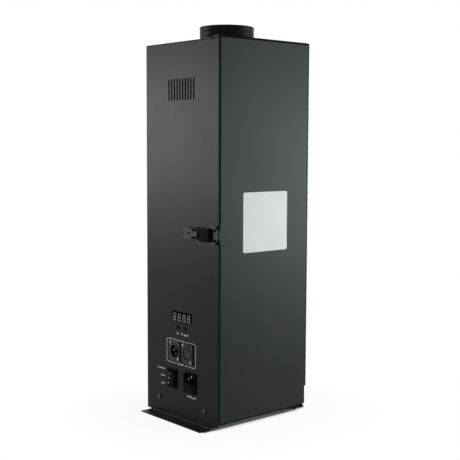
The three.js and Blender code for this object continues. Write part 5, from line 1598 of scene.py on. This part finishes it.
@dataclass
class FrontMarks(Assembly):
    """The printed signs on the front wall, in X from the cabinet's middle and in height above the floor."""

    depth: Point2 = (-0.02, 0.05)
    frame_sides: tuple[float, float, float, float] = (-36.2, 33.9, 86.0, 122.4)
    frame_corner: float = 4.2
    frame_width: float = 0.95
    top_gaps: tuple[Point2, Point2] = ((-18.0, -12.8), (9.0, 17.8))
    bottom_gap: Point2 = (-10.2, 8.0)
    top_arrows: tuple[tuple[float, float], ...] = ((-15.4, 180), (11.9, 0), (15.0, 0))
    switch_rows: tuple[tuple[float, float, Mark], ...] = ((72.5, -61.6, Mark.BAR), (61.5, -50.6, Mark.RING),
                                                          (49.3, -50.6, Mark.TWO_BARS))
    leader_end: float = -41.6
    wave_middle: Point2 = (24.2, 40.6)
    wave_half: Point2 = (5.0, 1.3)
    wave_bars: tuple[Point2, Point2] = ((13.7, 17.2), (31.2, 34.5))

    def build(self) -> None:
        """Prints every group of signs."""
        for name, draw in (("socket_frame_line", self.frame_line), ("button_marks", self.button_marks),
                           ("switch_marks", self.switch_marks), ("power_mark", self.power_mark)):
            form = Form(name, Finish.LEGEND_WHITE)
            draw(form)
            self.fit(form)

    def line(self, form: Form, path: Sequence[Point2], width: float, closed: bool = False) -> None:
        """Prints a line.

        Args:
            form: The group of signs.
            path: The points of its middle line.
            width: Its width.
            closed: Whether it runs back to its first point.
        """
        form.stroke(path, width, *self.depth, (0, FRONT_FACE, 0), closed)

    def arrow(self, form: Form, u: float, v: float, size: float, turn: float) -> None:
        """Prints a solid triangle.

        Args:
            form: The group of signs.
            u: Its X.
            v: Its height.
            size: Half its width.
            turn: How far it is turned from pointing up, in degrees.
        """
        spin = Matrix.Rotation(math.radians(turn), 2)
        corners = ((0, size), (-size, -size * 0.8), (size, -size * 0.8))
        form.slab([spin @ Vector(corner) + Vector((u, v)) for corner in corners], *self.depth,
                  (0, FRONT_FACE, 0), Axis.OUT_FRONT)

    def frame_line(self, form: Form) -> None:
        """Prints the rounded frame round the two sockets, open where arrows and a link mark stand.

        Args:
            form: The group of signs.
        """
        left, right, low, high = self.frame_sides
        steps = 8
        loop = rounded_rectangle(right - left, high - low, self.frame_corner, steps,
                                 ((left + right) / 2, (low + high) / 2))
        corners = [loop[k * (steps + 1):(k + 1) * (steps + 1)][::-1] for k in range(4)]
        (first, second), (gap_left, gap_right) = self.top_gaps, self.bottom_gap
        for path in ([(second[1], high), *corners[0], *corners[3], (gap_right, low)],
                     [(gap_left, low), *corners[2], *corners[1], (first[0], high)],
                     [(first[1], high), (second[0], high)]):
            self.line(form, path, self.frame_width)
        for u, turn in self.top_arrows:
            self.arrow(form, u, high, 1.3, turn)
        self.line(form, [(-4.6, low), (2.4, low)], 1.5)
        self.arrow(form, -6.4, low, 1.7, 90)
        self.arrow(form, 4.2, low, 1.7, -90)

    def button_marks(self, form: Form) -> None:
        """Prints an upward triangle under the left button, and one down with a return arrow under the right.

        Args:
            form: The group of signs.
        """
        self.arrow(form, -9.7, 133.6, 2.2, 0)
        self.arrow(form, 1.4, 133.0, 2.1, 180)
        self.line(form, [(15.8, 135.2), (15.8, 132.6), (8.6, 132.6)], 1.2)
        self.arrow(form, 7.4, 132.6, 2.0, 90)

    def switch_marks(self, form: Form) -> None:
        """Prints beside the switch a bar, a ring and two bars, each with a short leader line.

        Args:
            form: The group of signs.
        """
        for z, start, mark in self.switch_rows:
            middle = start + 1.6
            self.line(form, [(start + 4.6, z), (self.leader_end, z)], 1.7)
            if mark is Mark.RING:
                self.line(form, ring_outline(middle, z, 1.5, 24), 1.0, closed=True)
            for u in mark.bars(2.0):
                self.line(form, [(middle + u, z - 1.8), (middle + u, z + 1.8)], 1.0)

    def power_mark(self, form: Form) -> None:
        """Prints under the inlet the sign of alternating current between two short bars.

        Args:
            form: The group of signs.
        """
        (middle, level), (reach, swing), steps = self.wave_middle, self.wave_half, 24
        self.line(form, [(middle + reach * (2 * k / steps - 1), level + swing * math.sin(FULL_TURN * k / steps))
                         for k in range(steps + 1)], 1.7)
        for start, end in self.wave_bars:
            self.line(form, [(start, level), (end, level)], 2.2)


@dataclass
class FuelCan(Assembly):
    """The spray can with its painted band, and the cup that it stands in."""

    wall: float = 32.4
    seam: float = 33.0
    shoulder: float = 214.0
    foot: tuple[Point2, ...] = ((0.0, 6.0), (18.0, 5.0), (27.0, 2.5), (30.5, 0.0), (32.2, 0.0))
    valve: tuple[Point2, ...] = (
        (14.4, 15.4), (14.5, 17.4), (14.2, 20.2), (13.2, 21.0), (12.2, 20.4), (11.6, 18.4), (6.4, 18.1),
        (5.6, 20.6), (4.6, 21.0), (2.0, 21.0), (2.0, 28.7), (1.7, 29.0), (0.0, 29.0))
    dome_rise: float = 16.0
    band: Point2 = (62.0, 168.0)
    band_proud: float = 0.06
    cup_wall: float = 1.4
    cup_floor: float = 2.0

    def build(self) -> None:
        """Turns the can, its band and its cup."""
        packed = Box.of("fuel_can")
        base, wall, seam, shoulder = packed.low.z, self.wall, self.seam, self.shoulder
        dome = [(wall * math.cos(a) * 0.97 + 0.4, shoulder + 0.8 + self.dome_rise * math.sin(a))
                for a in (math.radians(6 * k) for k in range(1, 11))]
        profile = [*self.foot, (seam, 0.5), (seam, 2.4), (wall, 3.6), (wall, shoulder - 3.4),
                   (seam, shoulder - 2.0), (seam, shoulder - 0.3), (wall, shoulder + 0.2), *dome,
                   *((radius, shoulder + rise) for radius, rise in self.valve)]
        can = Form("spray_can", Finish.CAN_PAINT)
        can.lathe([(radius, base + min(rise, packed.size.z)) for radius, rise in profile], sides=96)
        self.fit(can, Body.CAN, ("fuel_can",), smooth=50)
        low, high = (base + edge for edge in self.band)
        under, over = wall - 0.1, wall + self.band_proud
        band = Form("spray_can_band", Finish.CAN_BAND)
        band.lathe([(under, low), (over, low + 0.05), (over, high), (under, high + 0.05)], sides=96,
                   closed=True)
        self.fit(band, Body.CAN)
        self.cup()

    def cup(self) -> None:
        """Turns a pressed cup with a rolled lip."""
        packed = Box.of("can_cup")
        outer, base, top = packed.high.x, packed.low.z, packed.high.z
        inner, floor = outer - self.cup_wall, base + self.cup_floor
        profile = [(0.0, base), (outer - 1.5, base), (outer - 0.4, base + 0.4), (outer, base + 1.5),
                   (outer - 0.2, top - 0.7), (outer - 0.5, top - 0.1), (inner + 0.3, top), (inner, top - 0.6),
                   (inner, floor + 0.4), (inner - 0.4, floor), (0.0, floor)]
        self.fit(Form("cup_drawn", Finish.ZINC).lathe(profile, sides=96), Body.CAN, ("can_cup",))


@dataclass
class Press(Assembly):
    """The solenoid's frame and wound coil, its plunger and the return spring, which lift the can."""

    strap: float = 1.6
    coil_inset: float = 2.6
    coil_gap: float = 1.4
    coil_turns: int = 40
    wire_steps: tuple[Point2, ...] = ((0.0, 0.0), (0.25, 0.22), (0.5, 0.3), (0.75, 0.22))
    flange: float = 1.2
    flange_proud: float = 1.0
    plunger_head: Point2 = (8.0, 2.0)
    plunger_stem: float = 4.0
    spring_wire: float = 0.8
    spring_radius: float = 6.0
    spring_curls: int = 5
    spring_steps: int = 28

    def build(self) -> None:
        """Builds the press."""
        packed = Box.of("press_solenoid")
        half, bottom, top, strap = packed.high.x, packed.low.z, packed.high.z, self.strap
        yoke = Form("solenoid_yoke", Finish.ZINC)
        for side in (-1, 1):
            inner, outer = sorted((side * half, side * (half - strap)))
            yoke.slab([(-half, inner), (half, inner), (half, outer), (-half, outer)], bottom, top)
        for level in (bottom, top - strap):
            yoke.slab(rounded_rectangle(2 * half, 2 * half - 2 * strap - 0.1, 0.2, 2), level, level + strap)
        self.fit(yoke, replaces=("press_solenoid",), bevel=0.3)
        self.coil(half - self.coil_inset, bottom + strap + self.coil_gap, top - strap - self.coil_gap)
        self.plunger()
        self.spring()

    def coil(self, radius: float, start: float, end: float) -> None:
        """Winds the coil between its two flanges.

        Args:
            radius: The windings' radius.
            start: The height of their lower end.
            end: The height of their upper end.
        """
        span = end - start
        wound = [(radius + lift, start + span * (k + share) / self.coil_turns)
                 for k in range(self.coil_turns) for share, lift in self.wire_steps]
        coil = Form("solenoid_coil", Finish.COPPER)
        coil.lathe([(0.0, start), *wound, (radius, end), (0.0, end)])
        wide = radius + self.flange_proud
        for level in (start - self.flange, end):
            upper = level + self.flange
            coil.lathe([(0.0, level), (wide, level), (wide, upper), (0.0, upper)], finish=Finish.BLACK_PLASTIC)
        self.fit(coil, smooth=60)

    def plunger(self) -> None:
        """Turns the plunger: a round foot and a thinner stem."""
        packed = Box.of("press_plunger")
        foot, top, (wide, thick), stem = packed.low.z, packed.high.z, self.plunger_head, self.plunger_stem
        profile = [(0.0, foot), (wide - 0.4, foot), (wide, foot + 0.4), (wide, foot + thick - 0.4),
                   (wide - 0.4, foot + thick), (stem, foot + thick), (stem, top - 0.3), (stem - 0.3, top),
                   (0.0, top)]
        self.fit(Form("plunger_turned", Finish.STEEL_BRIGHT).lathe(profile, sides=48), Body.CAN,
                 ("press_plunger",))

    def spring(self) -> None:
        """Coils the return spring as one fixed coil that rides with the can; the real spring is shorter by the
        press's stroke when the can is up.
        """
        low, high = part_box("press_spring")
        bottom, top = low.z / MM + self.spring_wire, high.z / MM - self.spring_wire
        steps = self.spring_curls * self.spring_steps
        path = []
        for k in range(steps + 1):
            angle = FULL_TURN * k / self.spring_steps
            path.append(Vector((self.spring_radius * math.cos(angle), self.spring_radius * math.sin(angle),
                                bottom + (top - bottom) * k / steps)))
        wound = Form("return_spring", Finish.STEEL_BRIGHT).tube(path, self.spring_wire * 0.96)
        piece = self.fit(wound, Body.CAN, ("press_spring",))
        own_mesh(piece)


@dataclass
class SparkGap(Assembly):
    """The nozzle in its block, and the two electrodes in their insulators."""

    sheet: float = 1.5
    hexagon: float = 8.0
    hexagon_rise: float = 4.2
    rib_count: int = 4
    rib_tops: float = 4.7
    rib_shrink: float = 0.3
    rib_steps: tuple[Point2, ...] = ((0.9, 0.0), (0.2, 0.22), (0.0, 0.42), (0.2, 0.62), (0.9, 0.84))
    rod_radius: float = 1.1
    rod_out: float = 24.0
    rod_tip: float = 2.5
    rod_turn: float = 6.5

    def build(self) -> None:
        """Builds the nozzle, the insulators and the electrodes."""
        self.soften(Softening("nozzle_block", Finish.BRASS, bevel=0.4))
        self.nozzle()
        for side, name in ((-1, "left"), (1, "right")):
            self.insulator(f"{name}_insulator")
            self.electrode(f"{name}_electrode", side)

    def nozzle(self) -> None:
        """Turns a brass jet over a hexagon."""
        packed = Box.of("nozzle")
        foot, tip, seat = packed.low.z, packed.high.z, Box.of("nozzle_bracket").low.z + self.sheet
        over = seat + self.hexagon_rise
        form = Form("nozzle_turned", Finish.BRASS)
        form.lathe([(0.9, foot), (4.0, foot), (4.0, seat + 0.1), (4.0, over), (6.0, over), (6.0, seat + 11.0),
                    (5.5, seat + 12.0), (3.4, tip - 3.0), (2.6, tip - 0.4), (2.2, tip), (0.9, tip)], closed=True)
        form.slab([(self.hexagon * math.cos(a), self.hexagon * math.sin(a))
                   for a in (math.radians(60 * k + 30) for k in range(6))], seat, over)
        self.fit(form, replaces=("nozzle",), bevel=0.25)

    def insulator(self, node: str) -> None:
        """Turns glazed ceramic with rounded ribs above a collar.

        Args:
            node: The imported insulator.
        """
        packed = Box.of(node)
        foot, top, seat = packed.low.z, packed.high.z, Box.of("heat_shield").low.z + self.sheet
        profile = [(1.5, foot), (4.3, foot), (4.6, foot + 0.4), (4.6, seat), (7.6, seat), (8.0, seat + 0.4),
                   (8.0, seat + 2.8), (7.6, seat + 3.4), (5.2, seat + 3.8)]
        rise = (top - seat - 6.0) / self.rib_count
        for k in range(self.rib_count):
            level, outer = seat + 4.6 + k * rise, self.rib_tops - self.rib_shrink * k
            profile += [(outer - inset, level + rise * share) for inset, share in self.rib_steps]
        profile += [(3.2, top - 0.5), (2.7, top), (1.5, top)]
        form = Form(f"{node}_glazed", Finish.CERAMIC)
        form.lathe(profile, (packed.middle.x, packed.middle.y, 0), sides=48, closed=True)
        self.fit(form, replaces=(node,), smooth=60)

    def electrode(self, node: str, side: int) -> None:
        """Bends a round rod in towards the spark gap.

        Args:
            node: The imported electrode.
            side: 1 if it stands on the door's side of the gap, and -1 if not.
        """
        packed = Box.of(node)
        foot, bend, turn = packed.low.z, packed.high.z - self.rod_radius, self.rod_turn
        x, tip, steps = side * self.rod_out, side * self.rod_tip, 8
        path = [Vector((x, 0, foot)), Vector((x, 0, (foot + bend) / 2)), Vector((x, 0, bend - turn))]
        for k in range(1, steps + 1):
            angle = math.pi / 2 * k / steps
            path.append(Vector((x - side * turn * (1 - math.cos(angle)), 0,
                                bend - turn + turn * math.sin(angle))))
        path += [Vector(((x + tip) / 2, 0, bend)), Vector((tip, 0, bend))]
        self.fit(Form(f"{node}_rod", Finish.HEAT_STEEL).tube(path, self.rod_radius * 0.98, 20),
                 replaces=(node,))


@dataclass(frozen=True)
class BoardPart:
    """A box on the back of the control board: its finish, its sides in X and in height, and its depth."""

    finish: Finish
    across: Point2
    up: Point2
    depth: float


@dataclass
class Electronics(Assembly):
    """The supply, the ignition transformer, the door's sensor, the control board and the tilt switch."""

    board_back: float = 18.1
    board_parts: tuple[BoardPart, ...] = (
        BoardPart(Finish.RELAY_BLUE, (-27.0, -9.4), (134.3, 149.6), 8.2),
        BoardPart(Finish.DIGIT, (10.9, 28.7), (134.3, 143.7), 8.2),
        BoardPart(Finish.ZINC, (-1.7, 11.1), (134.3, 165.2), 8.2),
        BoardPart(Finish.RESIN, (16.0, 26.0), (150.0, 160.0), 1.6),
        BoardPart(Finish.RESIN, (-24.0, -16.0), (154.0, 162.0), 1.6))
    solder: tuple[Point2, ...] = ((0.0, 0.0), (0.9, 0.0), (1.2, -0.8), (0.0, -1.1))
    solder_row: tuple[float, float, int] = (12.5, 2.4, 7)
    solder_height: float = 146.5
    terminal: tuple[Point2, ...] = ((0.0, 1.2), (2.0, 1.1), (2.6, 0.4), (2.6, 0.0), (0.0, 0.0))
    terminal_row: tuple[float, float, int] = (17.0, 8.5, 5)
    terminal_place: Point2 = (4.5, 10.4)
    flange_radius: float = 10.5
    tilt_radius: float = 7.0

    def build(self) -> None:
        """Builds the electronics."""
        self.soften(Softening("power_supply", Finish.ZINC, bevel=0.4),
                    Softening("ignition_transformer", Finish.RESIN, bevel=0.8),
                    Softening("door_sensor", Finish.BLACK_PLASTIC, bevel=0.6),
                    Softening("control_board", Finish.BOARD, bevel=0.1))
        supply, (first, pitch, count), (in_y, up) = Box.of("power_supply"), self.terminal_row, self.terminal_place
        form = Form("supply_terminals", Finish.STEEL_BRIGHT)
        for k in range(count):
            form.lathe(self.terminal,
                       (supply.low.x + first + k * pitch, supply.low.y + in_y, supply.low.z + up), sides=24)
        self.fit(form)
        self.board()
        self.tilt_switch()

    def board(self) -> None:
        """Sets covers, chips and a pin row on the control board, in their own finishes."""
        back = FRONT_FACE + self.board_back
        form = Form("board_components", Finish.BLACK_PLASTIC)
        for part in self.board_parts:
            (left, right), (low, high) = part.across, part.up
            form.slab([(left, low), (right, low), (right, high), (left, high)], -part.depth, 0.0, (0, back, 0),
                      Axis.OUT_FRONT, part.finish)
        first, pitch, count = self.solder_row
        for k in range(count):
            form.lathe(self.solder, (first + pitch * k, back, self.solder_height), Axis.OUT_FRONT, 12,
                       Finish.STEEL_BRIGHT)
        self.fit(form, bevel=0.25)

    def tilt_switch(self) -> None:
        """Turns a round can on a flange."""
        packed = Box.of("tilt_switch")
        foot, top, wide, radius = packed.low.z, packed.high.z, self.flange_radius, self.tilt_radius
        profile = [(0.0, foot), (wide - 0.3, foot), (wide, foot + 0.3), (wide, foot + 1.2),
                   (wide - 0.3, foot + 1.5), (radius + 0.4, foot + 1.5), (radius, foot + 1.9),
                   (radius, top - 0.8), (radius - 0.8, top), (0.0, top)]
        form = Form("tilt_switch_can", Finish.ZINC)
        form.lathe(profile, (packed.middle.x, packed.middle.y, 0), sides=48)
        self.fit(form, replaces=("tilt_switch",))


ASSEMBLIES: tuple[type[Assembly], ...] = (
    PackedSolids, FoldedSheets, Door, Latch, Hinge, Screws, Outlet, Display, Buttons, SignalSockets, ModeSwitch,
    PowerInlet, FrontMarks, FuelCan, Press, SparkGap, Electronics)


def main() -> None:
    """Builds the studio and then every assembly, and reports each piece."""
    logging.basicConfig(level=logging.INFO, format="%(message)s")
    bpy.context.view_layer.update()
    Studio().build()
    finishes = Finishes()
    for kind in ASSEMBLIES:
        assembly = kind(finishes)
        assembly.build()
        for piece in assembly.pieces:
            LOG.info("%s: %s", kind.__name__, piece.name)


if __name__ == "__main__":
    main()
